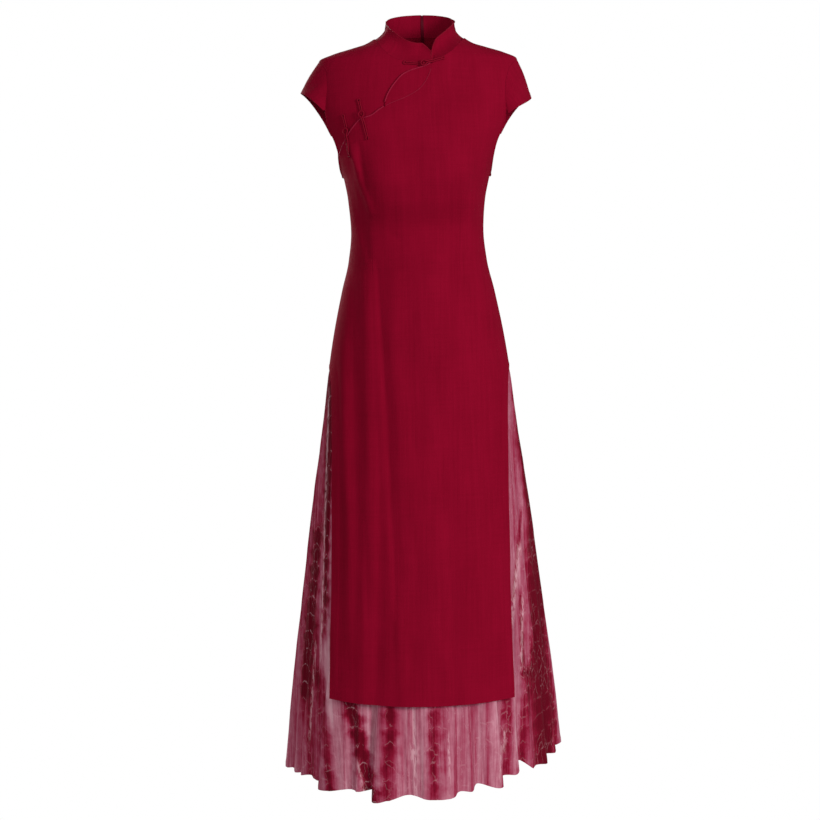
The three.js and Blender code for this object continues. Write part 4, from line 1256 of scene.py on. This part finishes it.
def add_piping(name, x, z, node):
    """Piping beside a line on the front. Its ends are rounded: the radius grows with the root of the
    distance to the nearer end."""
    px, pz = beside(x, z, PIPING_RADIUS + PIPING_BESIDE)
    path = on_dress(px, pz, FRONT, PIPING_RADIUS + PIPING_OUT)
    ends = np.minimum(run_of(path), run_of(path)[-1] - run_of(path))
    radius = PIPING_RADIUS * np.sqrt(np.clip(ends / PIPING_RADIUS, PIPING_TIP, 1))
    piece = tube(name, path, dress_normal(px, pz, FRONT), radius, piping_satin_painted_highlight)
    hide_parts(node)


arc_x = np.linspace(-55.4, 24.5, 120)
add_piping("petal_edge_piping", arc_x, petal_at(arc_x), "petal_piping")
low_x = np.linspace(-140.5, -57, 130)
add_piping("slant_edge_piping", low_x, slant_at(low_x), "slant_piping")

# The thin fold where the inset meets the slanted edge, in the piping's paler satin: a painted highlight
# along it.
FOLD_RADIUS = 0.6
FOLD_BESIDE = 0.3
fold_x = np.linspace(-54.5, 25, 110)
fold_path = on_dress(fold_x, slant_at(fold_x) + FOLD_BESIDE, FRONT, OVERLAP_LIFT + SEWN)
fold_up = dress_normal(fold_x, slant_at(fold_x), FRONT)
fold_edge = tube("slant_fold_edge", fold_path, fold_up, FOLD_RADIUS, piping_satin_painted_highlight, sides=8)
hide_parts("petal_inset")

# The stand collar: each half starts on the neck edge and rises to a narrower oval. Its front end
# stands this far outwards of the middle, so the right half crosses to the wearer's left.
COLLAR_START = {LEFT: 27.1, RIGHT: -26.8}
COLLAR_TOP_HALF = 64
COLLAR_TOP_FRONT = 60
COLLAR_TOP_BACK = 57
COLLAR_SIDE_Z = 27.5
COLLAR_FRONT_FALL = 18
COLLAR_FRONT_DIP = 25.5
COLLAR_BACK_RISE = 21.5
COLLAR_CORNER = 20
COLLAR_PART = 3
COLLAR_LEAN = 2.5
# Two waves across a half: how far each stands out, and the run of one radian of it.
WIDE_WAVE, WIDE_WAVE_RUN = 0.5, 17
FINE_WAVE, FINE_WAVE_RUN = 0.35, 7.3
COLLAR_EDGE_RADIUS = 1.25
ALLOWANCE_RADIUS = 0.9
ALLOWANCE_EXTRA = 2.5


def collar_top(base):
    """The top edge over a base point, by the sine and cosine of its place round the neck: an oval whose
    level falls towards the front and rises towards the back with powers of the sine."""
    cosine = np.clip(base[:, 0] / NECK_HALF, -1, 1)
    sine = np.sqrt(1 - cosine**2)
    ahead = base[:, 1] < 0
    fall = COLLAR_FRONT_FALL * sine + COLLAR_FRONT_DIP * sine**2.7
    z = COLLAR_SIDE_Z + np.where(ahead, -fall, COLLAR_BACK_RISE * sine**0.8)
    y = np.where(ahead, -COLLAR_TOP_FRONT, COLLAR_TOP_BACK) * sine
    return np.stack([COLLAR_TOP_HALF * cosine, y, z], axis=1)


def add_allowance(name, grid, outward, node):
    """The seam allowance inside a sewn edge: a flat cord along the grid's first row, just under it."""
    normals = grid_normals(grid, outward)[0]
    path = respace(grid[0] - normals * (ALLOWANCE_RADIUS + SEWN), 110)
    up = np.tile((0, 0, 1.0), (len(path), 1))
    piece = tube(name, path, up, ALLOWANCE_RADIUS, linen_plain, sides=8)
    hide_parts(node)


def add_sewn_edge(name, hand, z, node):
    """The seam allowance inside a shoulder or side seam: a cord on the seam's line, x being the half
    width at each level, moved in square to that line and a little longer at its last end."""
    path = np.stack([hand * half_at(z), 0 * z, z], axis=1)
    path = np.concatenate([path, path[-1:] + ALLOWANCE_EXTRA * unit(path[-1:] - path[-2:-1])])
    inward = np.cross(unit(np.gradient(path, axis=0)), (0, -hand, 0))
    path = path + inward * (ALLOWANCE_RADIUS + SEWN)
    up = np.tile((0, 1.0, 0), (len(path), 1))
    piece = tube(name, path, up, ALLOWANCE_RADIUS, linen_plain, sides=8)
    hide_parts(node)


shoulder_z = np.linspace(-1.5, SHOULDER_Z + 1, 60)
side_z = np.linspace(UNDERARM_Z - 1, SKIRT_TOP_Z + 5, 60)
for hand, name in ((LEFT, "left"), (RIGHT, "right")):
    add_sewn_edge(f"shoulder_seam_{name}", hand, shoulder_z, f"back_{name}")
    add_sewn_edge(f"side_seam_{name}", hand, side_z, f"back_{name}")


def neck_edge(hand):
    """The neck edge from the front end of a collar half round to the zip."""
    ahead_grid = front_outer if hand == LEFT else yoke_outer
    ahead = beyond(ahead_grid[0], ahead_grid[1], SEWN)
    behind = beyond(back_outer[hand][0], back_outer[hand][1], SEWN)
    x = hand * ahead[:, 0]
    kept = ahead[(x <= NECK_HALF) & (x >= COLLAR_START[hand])]
    kept = kept[np.argsort(hand * kept[:, 0])]
    back_x = hand * behind[:, 0]
    kept_back = behind[back_x <= NECK_HALF]
    kept_back = kept_back[np.argsort(-hand * kept_back[:, 0])]
    return np.concatenate([kept[:-1], kept_back])


def collar_half(hand):
    """A collar half: straight up from the neck edge while it leans in with 1 - (1 - t)^COLLAR_LEAN, its
    front corner rounded off, with two small waves across it."""
    path = neck_edge(hand)
    length = run_of(path)[-1]
    turn = np.linspace(0, np.pi / 2, 16)
    runs = np.concatenate([COLLAR_CORNER * (1 - np.cos(turn)), np.linspace(COLLAR_CORNER, length, 90)[1:]])
    base = at_runs(path, runs)
    top = collar_top(base)
    distance = np.linalg.norm(base - base[0], axis=1)
    top[:, 0] += hand * COLLAR_PART * (1 - smooth(0, 2 * COLLAR_CORNER, distance))
    left = np.maximum(COLLAR_CORNER - distance, 0)
    height = top[:, 2] - base[:, 2]
    share = 1 - COLLAR_CORNER * (left / COLLAR_CORNER) ** 1.5 / height
    top = base + (top - base) * share[:, None]
    t = np.linspace(0, 1, 26)[:, None]
    inwards = 1 - (1 - t) ** COLLAR_LEAN
    across = mix(base[None, :, :2], top[None, :, :2], inwards[..., None])
    up = mix(base[None, :, 2:], top[None, :, 2:], t[..., None])
    grid = np.concatenate([across, up], axis=-1)
    wave = WIDE_WAVE * np.sin(runs / WIDE_WAVE_RUN + 0.6) * np.sin(np.pi * t)
    wave = wave + FINE_WAVE * np.sin(runs / FINE_WAVE_RUN + 3 * t)
    grid = grid + unit(grid * (1, 1, 0)) * (wave * np.sin(np.pi * t) ** 0.8)[..., None]
    place = np.stack(np.broadcast_arrays(hand * runs[None, :], grid[..., 2]), axis=-1)
    return grid, place


def add_collar(hand, name):
    """A collar half's cloth, the piping on its front and top edges, and its allowance inside."""
    grid, place = collar_half(hand)
    piece = shell(f"{name}_band", grid, COLLAR_CLOTH, place, grid * (1, 1, 0), linen_plain)
    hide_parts(name)
    middle = grid - grid_normals(grid, grid * (1, 1, 0)) * COLLAR_CLOTH / 2
    edge = np.concatenate([middle[:, 0], middle[-1, 1:]])
    rise = spline(edge[::3], 170)
    outward = unit(rise * (1, 1, 0.3))
    edging = tube(f"{name}_edging", rise, outward, COLLAR_EDGE_RADIUS, satin)
    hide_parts(name)
    add_allowance(f"{name}_allowance", grid, grid * (1, 1, 0), name)
    return grid


collar_grid = {LEFT: add_collar(LEFT, "collar_left"), RIGHT: add_collar(RIGHT, "collar_right")}

# Cap sleeves: from the armhole's upper edge out to a hem that peaks over the shoulder.
CAP_TIP_X = 218
CAP_TIP_Z = -106
CAP_TILT = 7
CAP_BOW = 1.5
CAP_END = {
    FRONT: {"end_in": 46, "depth": 60, "drop": 29},
    BACK: {"end_in": 55, "depth": 54, "drop": 70},
}
CAP_CREASE = 0.9
CAP_HEM_TURN = 0.86
CAP_HEM_RISE = 0.5
CAP_LONG = 110
CAP_LEFT_DROP = 10
CAP_LEFT_SAG = 9
# Levels of the sewn edge, in even shares of the way from the shoulder to the cap's end.
SEWN_Z = {
    FRONT: (-40, -52, -66, -82, -100, -118, -134),
    BACK: (-40, -54, -72, -94, -119, -146, -174),
}
# The binding starts a little above the cap's ends. It folds into a nub under the arm, which stands
# out, is thicker, and falls off as a bell of this half width.
BINDING_FROM_Z = {FRONT: -131, BACK: -171}
BINDING_RADIUS = 1.8
NUB_RADIUS = 0.7
NUB_OUT = 2.2
NUB_HALF = 11


def armhole_column(hand, side):
    """The armhole edge of a panel from the shoulder down, and the column beside it."""
    if side == FRONT:
        grid = front_outer if hand == LEFT else yoke_outer
    else:
        grid = back_outer[hand]
    outermost = -1 if grid[0, -1, 0] * hand > grid[0, 0, 0] * hand else 0
    beside_it = -2 if outermost == -1 else 1
    kept = grid[:, outermost, 2] >= UNDERARM_Z
    return grid[kept, outermost], grid[kept, beside_it]


def cap_out(grid):
    """Rough outward directions of a cap sleeve, out and up."""
    return grid * (1, 0.8, 0) + (0, 0, 110)


def cap(hand):
    """A cap sleeve: straight lines from the sewn edge to the hem, bowed out by a half sine. By the way
    round, -1 in front to 1 behind, the hem falls in from its tip with powers of the distance."""
    seam, far = {}, np.linspace(0, 1, 40)
    for side, levels in SEWN_Z.items():
        edge, behind = armhole_column(hand, side)
        edge = beyond(edge, behind, SEWN)
        level = curve(np.linspace(0, 1, len(levels)), np.array(levels, float))(far)
        seam[side] = np.stack([np.interp(-level, -edge[:, 2], edge[:, k]) for k in range(3)], axis=1)
    tip = (seam[FRONT][:1] + seam[BACK][:1]) / 2
    start = np.concatenate([seam[FRONT][:0:-1], tip, seam[BACK][1:]])
    around = np.concatenate([-far[:0:-1], far])
    end_in, depth, drop = (
        np.where(around < 0, CAP_END[FRONT][key], CAP_END[BACK][key]) for key in ("end_in", "depth", "drop")
    )
    reach = np.abs(around)
    longer = np.where((around < 0) & (hand == LEFT), 1, 0)
    drop = drop + CAP_LEFT_DROP * longer
    sag = CAP_LEFT_SAG * longer * np.sin(np.pi * reach)
    hem = np.stack(
        [
            hand * (CAP_TIP_X - end_in * reach**1.6),
            depth * np.sin(around * np.pi / 2),
            CAP_TIP_Z - hand * CAP_TILT * (1 - reach) - drop * reach**2.4 - sag,
        ],
        axis=1,
    )
    t = np.linspace(0, 1, 34)[:, None]
    round_out = CAP_BOW * np.sin(np.pi * t) * (1 - around**2)
    grid = mix(start[None], hem[None], t[..., None])
    grid[..., 0] += hand * round_out
    grid[..., 2] += 0.5 * round_out
    # creases run out from the seam, and the hem is turned under
    crease = np.sin(around * 9.5 + 0.7 + 1.5 * t) + 0.6 * np.sin(around * 17 - 2 * t + hand)
    out = CAP_CREASE * crease * np.sin(np.pi * np.clip(t * 1.1, 0, 1)) * (1 - around**2)
    out = out + CAP_HEM_RISE * smooth(CAP_HEM_TURN - 0.02, CAP_HEM_TURN + 0.02, t)
    grid = grid + grid_normals(grid, cap_out(grid)) * out[..., None]
    place = np.stack(np.broadcast_arrays(run_of(start)[None], t * CAP_LONG), axis=-1)
    return grid, place


def binding_path(hand):
    """The middle of the binding: down the armhole's front edge and up its back one, half a cloth in.
    On the wearer's right the front edge is the yoke's, then the front's below the slanted edge."""
    ahead, behind = armhole_column(hand, FRONT)[0], armhole_column(hand, BACK)[0]
    if hand == RIGHT:
        low = front_outer[:, 0]
        low = low[low[:, 2] >= UNDERARM_Z]
        ahead = np.concatenate([ahead[ahead[:, 2] > low[0, 2] + 3], low])
    ahead, behind = ahead[ahead[:, 2] < BINDING_FROM_Z[FRONT]], behind[behind[:, 2] < BINDING_FROM_Z[BACK]]
    path = spline(respace(np.concatenate([ahead, behind[::-1]]), 26), 120)
    return path - unit(path * (0, 1, 0) + (0, 1e-3, 0)) * CLOTH / 2


for hand, name in ((LEFT, "cap_sleeve_left"), (RIGHT, "cap_sleeve_right")):
    cap_grid, cap_map = cap(hand)
    outward = cap_out(cap_grid)
    sleeve = shell(f"{name}_cloth", cap_grid, CLOTH, cap_map, outward, linen_plain)
    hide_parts(name)
    add_allowance(f"{name}_allowance", cap_grid, outward, name)
    lower = binding_path(hand)
    nub = np.exp(-((lower[:, 1] / NUB_HALF) ** 2))
    lower[:, 0] += hand * NUB_OUT * nub
    sideways = np.tile((hand, 0, 0.2), (len(lower), 1))
    thick = BINDING_RADIUS + NUB_RADIUS * nub
    binding = tube(f"{name}_binding", lower, sideways, thick, linen_plain)
    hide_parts(name)


# ---- the zip ---------------------------------------------------------------------------------

TOOTH_PITCH = 1.5
TOOTH_SIZE = (2.2, 1.15, 1.0)
TOOTH_APART = 0.45
TOOTH_IN = 0.35
# The tape reaches past both edges of the gap by this share of it, and lies this far in.
TAPE_PAST = 0.35
TAPE_IN = 2.2
TAPE_THICK = 0.8


def zip_line(hand):
    """The edge beside the zip: down the collar's back end, then down the back to the zip's end."""
    collar = collar_grid[hand][:, -1][::-1]
    grid = back_outer[hand]
    column = grid[:, 0] if hand == LEFT else grid[:, -1]
    return np.concatenate([collar, column[column[:, 2] >= ZIP_END_Z][1:]])


left_line, right_line = respace(zip_line(LEFT), 260), respace(zip_line(RIGHT), 260)
tape_share = np.linspace(-TAPE_PAST, 1 + TAPE_PAST, 7)
tape = mix(left_line[:, None], right_line[:, None], tape_share[None, :, None])
tape[..., 1] -= TAPE_IN
tape_map = np.stack(np.broadcast_arrays(tape_share[None] * ZIP_GAP, tape[..., 2]), axis=-1)
zip_tape = shell("zip_tape", tape, TAPE_THICK, tape_map, tape * 0 + (0, 1, 0), zip_nylon_and_gap_shade)
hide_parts("zip")

mid_line = respace((left_line + right_line) / 2, int(run_of(left_line)[-1] / TOOTH_PITCH))
down = unit(np.gradient(mid_line, axis=0))
crosswise = np.tile((1.0, 0.0, 0.0), (len(down), 1))
outwards = unit(np.cross(down, crosswise))
outwards *= np.sign(outwards[:, 1:2])
# each tooth steps to the other side of the last one
hooked = np.where(np.arange(len(mid_line)) % 2 == 0, TOOTH_APART, -TOOTH_APART)[:, None]
tooth_places = mid_line + hooked * crosswise - outwards * TOOTH_IN
teeth = copies(
    "zip_teeth", spindle(*TOOTH_SIZE), tooth_places, crosswise, outwards, zip_nylon_and_gap_shade
)
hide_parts("zip")

for node in ("zip_slider", "zip_pull_tab"):
    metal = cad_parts[node]
    metal.data.materials.clear()
    metal.data.materials.append(enamelled)


# ---- frogs -----------------------------------------------------------------------------------

# How far out the balls and cords lie, and the loops where they cross the edge and its piping.
BALL_LIE = 0.4
CORD_LIE = CORD_RADIUS + 0.45
CROSSING_OUT = OVERLAP_LIFT + 2 * PIPING_RADIUS + 0.2 + CORD_RADIUS
LOOP_RADIUS = BALL_RADIUS + CORD_RADIUS + SEWN
# Where the points of the straight legs lie, as shares of the way to the far end.
KNOT_LEGS = (0, 0.4, 0.75)
LOOP_LEGS = (0.8, 0.6, 0.42, 0.3)
# The ball's knot: its cord, how often it goes round and turns back, how far it rises where it crosses
# itself, how far up and down it swings in radians, and the gap to the core.
KNOT_CORD = 0.95
KNOT_LEADS = 3
KNOT_BIGHTS = 4
KNOT_RISE = 0.45
KNOT_SWING = 1.0
CORE_GAP = 0.4


def frog_plane(ball, end):
    """Places a flat frog shape on the dress: along runs from the ball to the far end."""
    origin = on_dress(ball[0], ball[1], FRONT)
    normal = dress_normal(ball[0], ball[1], FRONT)
    along = on_dress(end[0], end[1], FRONT) - origin
    length = np.linalg.norm(along)
    along = unit(along - (along @ normal) * normal)
    across = np.cross(normal, along)

    def place(flat, out):
        x = ball[0] + along[0] * flat[:, 0] + across[0] * flat[:, 1]
        z = ball[1] + along[2] * flat[:, 0] + across[2] * flat[:, 1]
        return on_dress(x, z, FRONT, out(x, z)), dress_normal(x, z, FRONT)

    return length, place


def ring_points(centre, radius, start, end, count):
    """An arc of a circle round a place along a frog, between two angles in degrees."""
    turn = np.radians(np.linspace(start, end, count))
    return np.stack([centre + radius * np.cos(turn), radius * np.sin(turn)], axis=1)


def legs_at(spots, across):
    """Points of a straight cord at places along a frog, all at one distance across it."""
    return np.stack([np.array(spots), np.full(len(spots), across)], axis=1)


def knot_half(frog):
    """The half with the ball: two cords side by side that turn back round an eye."""
    length, place = frog_plane(frog["ball"], frog["knot"])
    start = LOOP_RADIUS + CORD_RADIUS
    legs = [mix(start, length, share) for share in KNOT_LEGS]
    ring = ring_points(length, EYE_RADIUS, -135, 135, 9)
    flat = np.concatenate([legs_at(legs, -LEG_SPREAD), ring, legs_at(legs[::-1], LEG_SPREAD)])
    return place(spline(flat, 130), lambda x, z: layer_out(x, z) + CORD_LIE)


def loop_half(frog):
    """The half with the loop: it passes over the edge and its piping and holds the ball."""
    length, place = frog_plane(frog["ball"], frog["loop"])
    legs = [length * share for share in LOOP_LEGS]
    flat = np.concatenate(
        [
            ring_points(length, EYE_RADIUS, 25, 135, 5),
            legs_at(legs, LEG_SPREAD),
            ring_points(0, LOOP_RADIUS, 30, 330, 13),
            legs_at(legs[::-1], -LEG_SPREAD),
            ring_points(length, EYE_RADIUS, -135, -25, 5),
        ]
    )
    flat = spline(flat, 240)
    # highest round the ball, easing down along the legs
    near = 1 - smooth(LOOP_RADIUS * 1.6, LOOP_RADIUS * 4, flat[:, 0])
    return place(flat, lambda x, z: mix(overlap_lift(x, z) + CORD_LIE, CROSSING_OUT, near))


def knot_ball(centre):
    """A Turk's head knot: one cord that winds round a ball, over and under itself by turns. It goes
    round with the leads, swings up and down with the bights, and rises and sinks twice a bight."""
    t = np.linspace(0, 2 * np.pi, 240, endpoint=False)
    lift = BALL_RADIUS - KNOT_CORD - KNOT_RISE + KNOT_RISE * np.sin(2 * KNOT_BIGHTS * t)
    tall = KNOT_SWING * np.sin(KNOT_BIGHTS * t)
    round_it = KNOT_LEADS * t
    wide = np.cos(tall)
    spoke = np.stack([wide * np.cos(round_it), -np.sin(tall), wide * np.sin(round_it)], axis=1)
    return centre + spoke * lift[:, None], spoke


def add_ball_core(name, centre, radius):
    """A round core under the knot: rings of a sphere that close at small end faces."""
    points, faces = spindle(2 * radius, 2 * radius, 2 * radius, stations=8, sides=14)
    return add_mesh(name, points + centre, faces, points[:, :2], satin)


for name, frog in FROGS.items():
    for part, half in (("knot", knot_half), ("loop", loop_half)):
        path, normals = half(frog)
        cord = tube(f"{name}_{part}_cord", path, normals, CORD_RADIUS, satin, sides=12)
        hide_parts(f"{name}_frog_{part}")
    x, z = frog["ball"]
    ball_out = float(layer_out(np.array([x]), np.array([z]))[0]) + BALL_RADIUS + BALL_LIE
    centre = on_dress(x, z, FRONT, ball_out)
    path, spokes = knot_ball(centre)
    knot = tube(f"{name}_ball_knot", path, spokes, KNOT_CORD, satin, sides=10, closed=True)
    core = add_ball_core(f"{name}_ball_core", centre, BALL_RADIUS - KNOT_CORD - CORE_GAP)
    for piece in (knot, core):
        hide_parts(f"{name}_frog_ball")


# ---- the underskirt --------------------------------------------------------------------------

# How far the skirt hangs inside the form: at its top, at the sides and under the panels. It comes out
# again at the sides below the slits. Places round it are in degrees from the middle of each side.
SKIRT_IN_TOP = 2.3
SKIRT_IN_SIDE = 3.6
SKIRT_IN_UNDER = 8.5
SKIRT_SIDE_OUT = 3
SKIRT_EASE = 70
UNDER_FROM, UNDER_FULL = 86, 62
SIDE_FROM, SIDE_FULL = 79, 86
# Lips and crinkles stop at the side seams.
SEAM_AT = 90
CRINKLE_FULL = 84
LIP_FULL = 78
# A trough's dip ends at this many of its widths. Its lip leans by this reach, stands at this many
# widths and is so many wide.
DIP_WIDTHS = 1.35
LIP_REACH = 30
LIP_AT = 1.0
LIP_WIDTH = 0.62
# The band turned up at the hem, how far it stands out and how softly it ends.
HEM_BAND = 11
BAND_RISE = 0.5
BAND_SOFT = 1.5
# The crepe's own width as a share of the form's round, on its cloth map, and the two sides' distance.
MAP_EASE = 1.12
MAP_APART = 400


def skirt_grid(side):
    """One side of the skirt: troughs, squared cosines across, that deepen downwards with a power of the
    way, lips, bells that lean over some of them, fine crinkles, and a hem that hangs lower in the lips
    than in the troughs."""
    troughs = FRONT_TROUGHS if side == FRONT else BACK_TROUGHS
    angle = np.degrees(np.arcsin(even_in(360, -1, 1)))
    level = np.linspace(SKIRT_TOP_Z, SKIRT_HEM_Z, 124)[:, None]
    below = smooth(SKIRT_TOP_Z, SKIRT_TOP_Z - SKIRT_EASE, level)
    hanging = mix(SKIRT_IN_SIDE, SKIRT_IN_UNDER, smooth(UNDER_FROM, UNDER_FULL, np.abs(angle)))
    inset = mix(SKIRT_IN_TOP, hanging, below)
    at_sides = smooth(SIDE_FROM, SIDE_FULL, np.abs(angle))
    inset = inset - SKIRT_SIDE_OUT * at_sides * smooth(SLIT_Z + 5, SLIT_Z - 18, level)
    off_seams = smooth(SEAM_AT, CRINKLE_FULL, np.abs(angle))
    shift = 0 * inset
    hem_low = curve(HEM["angle"], HEM["z"])(angle) - SKIRT_HEM_Z + 0 * inset
    for trough in rows_of(troughs):
        grown = np.clip((level - trough["start"]) / (SKIRT_HEM_Z - trough["start"]), 0, 1)
        across = (angle - trough["angle"]) / trough["width"]
        dip = np.cos(np.clip(np.abs(across) / DIP_WIDTHS, 0, 1) * np.pi / 2) ** 2
        inset = inset + trough["depth"] * dip * grown**1.2
        lip = np.exp(-(((across + np.sign(trough["lean"]) * LIP_AT) / LIP_WIDTH) ** 2))
        free = smooth(SEAM_AT, LIP_FULL, abs(trough["angle"])) * off_seams
        shift = shift + trough["lean"] * LIP_REACH * lip * free * smooth(0.25, 1, grown)
        hem_low = hem_low + trough["lift"] * dip - trough["hang"] * lip * free
    low = (level - SKIRT_TOP_Z) / (SKIRT_HEM_Z - SKIRT_TOP_Z)
    z = level + hem_low * low**3
    half = half_at(z)
    moved = np.clip(angle + np.degrees(shift / half), -SEAM_AT, SEAM_AT)
    x = half * np.sin(np.radians(moved))
    y = form_y(x, z, side)
    follow = relief(x, z, side) * (1 - below)
    arc = np.radians(angle) * half
    fine = ripple(CRINKLE, arc * MM, z * MM) * below * off_seams
    band_z = SKIRT_HEM_Z + HEM_BAND
    band = BAND_RISE * smooth(band_z + BAND_SOFT, band_z - BAND_SOFT, level)
    away = follow - inset + fine + band
    grid = np.stack([x, y, z], axis=-1) + form_normal(x, y, z, side) * away[..., None]
    grid[..., 1] = side * np.maximum(side * grid[..., 1], SEAM / 2)
    place = np.stack(np.broadcast_arrays(side * MAP_APART + arc * MAP_EASE, z), axis=-1)
    return grid, place


# The dye between the bands, how much a band narrows between its beads, how many of its half widths
# the beading reaches, and the least that a band is foreshortened towards the sides.
DYE_GROUND = 0.35
BEAD_SWELL = 0.28
BEAD_REACH = 1.5
LEAST_FACING = 0.4


def dye_fields(side, x, z):
    """The dye at each point: how deep it is, where the point lies on the strongest beaded band, and how
    far a binding thread kept the dye out. Distances run round the skirt from each band's line, and the
    dye falls off from it as a flat-topped bell."""
    half = half_at(z)
    turn = np.arcsin(np.clip(x / half, -1, 1))

    def beside_line(line):
        """The share along a line, the half widths across it, and the count of beads down it."""
        along = (line["z"] - z) / (line["z"] - line["end_z"])
        line_turn = np.arcsin(np.clip(mix(line["x"], line["end_x"], along) / half, -0.995, 0.995))
        across = (turn - line_turn) * half * np.maximum(np.cos(line_turn), LEAST_FACING) / line["half"]
        return along, across, (line["z"] - z) / BEAD_PITCH

    deep, bead, off, run = DYE_GROUND + 0 * x, 0 * x, 0 * x, 0 * x
    for band in rows_of(FRONT_BANDS if side == FRONT else BACK_BANDS):
        along, across, count = beside_line(band)
        across = across / (1 + BEAD_SWELL * band["bead"] * np.cos(2 * np.pi * count))
        begun = smooth(0, 0.1, along) * smooth(1, 0.9, along)
        deep = deep + band["deep"] * np.exp(-np.abs(across) ** 2.6) * begun
        strength = band["bead"] * np.exp(-((across / BEAD_REACH) ** 4)) * begun
        stronger = strength > bead
        off = np.where(stronger, across, off)
        run = np.where(stronger, count, run)
        bead = np.where(stronger, strength, bead)
    resist = 0 * x
    for line in rows_of(RESIST_LINES) if side == FRONT else ():
        along, across, _ = beside_line(line)
        shown = smooth(0, 0.08, along) * smooth(1, 0.92, along)
        resist = np.maximum(resist, np.exp(-(across**2)) * shown)
    return {"dye_deep": deep, "dye_bead": bead, "dye_off": off, "dye_run": run, "dye_resist": resist}


for side, name in ((FRONT, "skirt_front"), (BACK, "skirt_back")):
    skirt_points, skirt_map = skirt_grid(side)
    fields = dye_fields(side, skirt_points[..., 0], skirt_points[..., 2])
    outward = face_out(skirt_points)
    cloth = f"{name}_cloth"
    skirt = shell(cloth, skirt_points, SKIRT_CLOTH, skirt_map, outward, dyed, fields)
    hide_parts(name)


# ---- studio ----------------------------------------------------------------------------------

# In metres from here on.
FLOOR_Z = -1.85
FLOOR_RADIUS = 0.68
RIM_RADIUS = 0.02

CAMERA_PLACE = (-0.010, -2.950, -0.354)
CAMERA_PITCH, CAMERA_ROLL, CAMERA_YAW = (math.radians(turn) for turn in (6.75, 0.8, -0.17))
CAMERA_LENS = 67.43
CAMERA_SENSOR = 36
CAMERA_SEES = 50


def studio_floor():
    """A round pale floor under the dress, thicker than paper, with a rounded rim: rings of a circle
    carried in from the underside, over the rim and to a small middle."""
    turn = np.linspace(0, 2 * np.pi, 96, endpoint=False)
    rim = np.linspace(-np.pi / 2, np.pi / 2, 9)
    reach = np.concatenate([[0.01], FLOOR_RADIUS + RIM_RADIUS * np.cos(rim), [0.4, 0.01]])
    z = np.concatenate([[-2 * RIM_RADIUS], RIM_RADIUS * np.sin(rim) - RIM_RADIUS, [0, 0]]) + FLOOR_Z
    rings = np.broadcast_arrays(reach[:, None] * np.cos(turn), reach[:, None] * np.sin(turn), z[:, None])
    points = np.stack(rings, axis=-1).reshape(-1, 3)
    mesh = bpy.data.meshes.new("studio_floor")
    mesh.from_pydata(points.tolist(), [], ring_faces(len(z), len(turn)))
    mesh.materials.append(plain("studio_paper", (0.86, 0.86, 0.87), 0.9))
    ground = bpy.data.objects.new("studio_floor", mesh)
    bpy.context.scene.collection.objects.link(ground)


def soft_light(name, place, target, size, power):
    """A round soft lamp that points at its target."""
    light = bpy.data.lights.new(name, "AREA")
    light.shape = "DISK"
    light.size = size
    light.energy = power
    lamp = bpy.data.objects.new(name, light)
    lamp.location = place
    lamp.rotation_euler = (Vector(target) - Vector(place)).to_track_quat("-Z", "Y").to_euler()
    bpy.context.scene.collection.objects.link(lamp)


def studio_glow(seen, lighting):
    """An even white surround, that lights the dress less than it shows."""
    world = bpy.data.worlds.new("studio_world")
    world.use_nodes = True
    background = world.node_tree.nodes["Background"]
    background.inputs["Color"].default_value = (1, 1, 1, 1)
    shown = Wire(world.node_tree).node("ShaderNodeLightPath", out="Is Camera Ray")
    strength = shown * (seen - lighting) + lighting
    world.node_tree.links.new(strength.socket, background.inputs["Strength"])
    bpy.context.scene.world = world


def front_camera():
    """The camera in front of the dress, a little high, tipped down and barely rolled."""
    forward = math.cos(CAMERA_PITCH)
    ahead = Vector(
        (math.sin(CAMERA_YAW) * forward, math.cos(CAMERA_YAW) * forward, -math.sin(CAMERA_PITCH))
    )
    level = Vector((math.cos(CAMERA_YAW), -math.sin(CAMERA_YAW), 0))
    over = level.cross(ahead)
    right = math.cos(CAMERA_ROLL) * level - math.sin(CAMERA_ROLL) * over
    up = math.sin(CAMERA_ROLL) * level + math.cos(CAMERA_ROLL) * over
    camera_data = bpy.data.cameras.new("camera")
    camera_data.lens = CAMERA_LENS
    camera_data.sensor_width = CAMERA_SENSOR
    camera_data.clip_end = CAMERA_SEES
    camera = bpy.data.objects.new("camera", camera_data)
    rows = [(right[k], up[k], -ahead[k], CAMERA_PLACE[k]) for k in range(3)]
    camera.matrix_world = Matrix((*rows, (0, 0, 0, 1)))
    bpy.context.scene.collection.objects.link(camera)
    bpy.context.scene.camera = camera


studio_floor()
soft_light("key", (2.5, -2.6, 0.3), (0, 0, -0.6), 1.2, 92)
soft_light("fill", (-1.6, -3.6, 0.4), (0, 0, -0.7), 2.8, 36)
soft_light("rear", (-1.8, 3.0, 0.6), (0, 0, -0.7), 2.0, 105)
studio_glow(1.0, 0.32)
front_camera()
bpy.context.scene.view_settings.view_transform = "Standard"
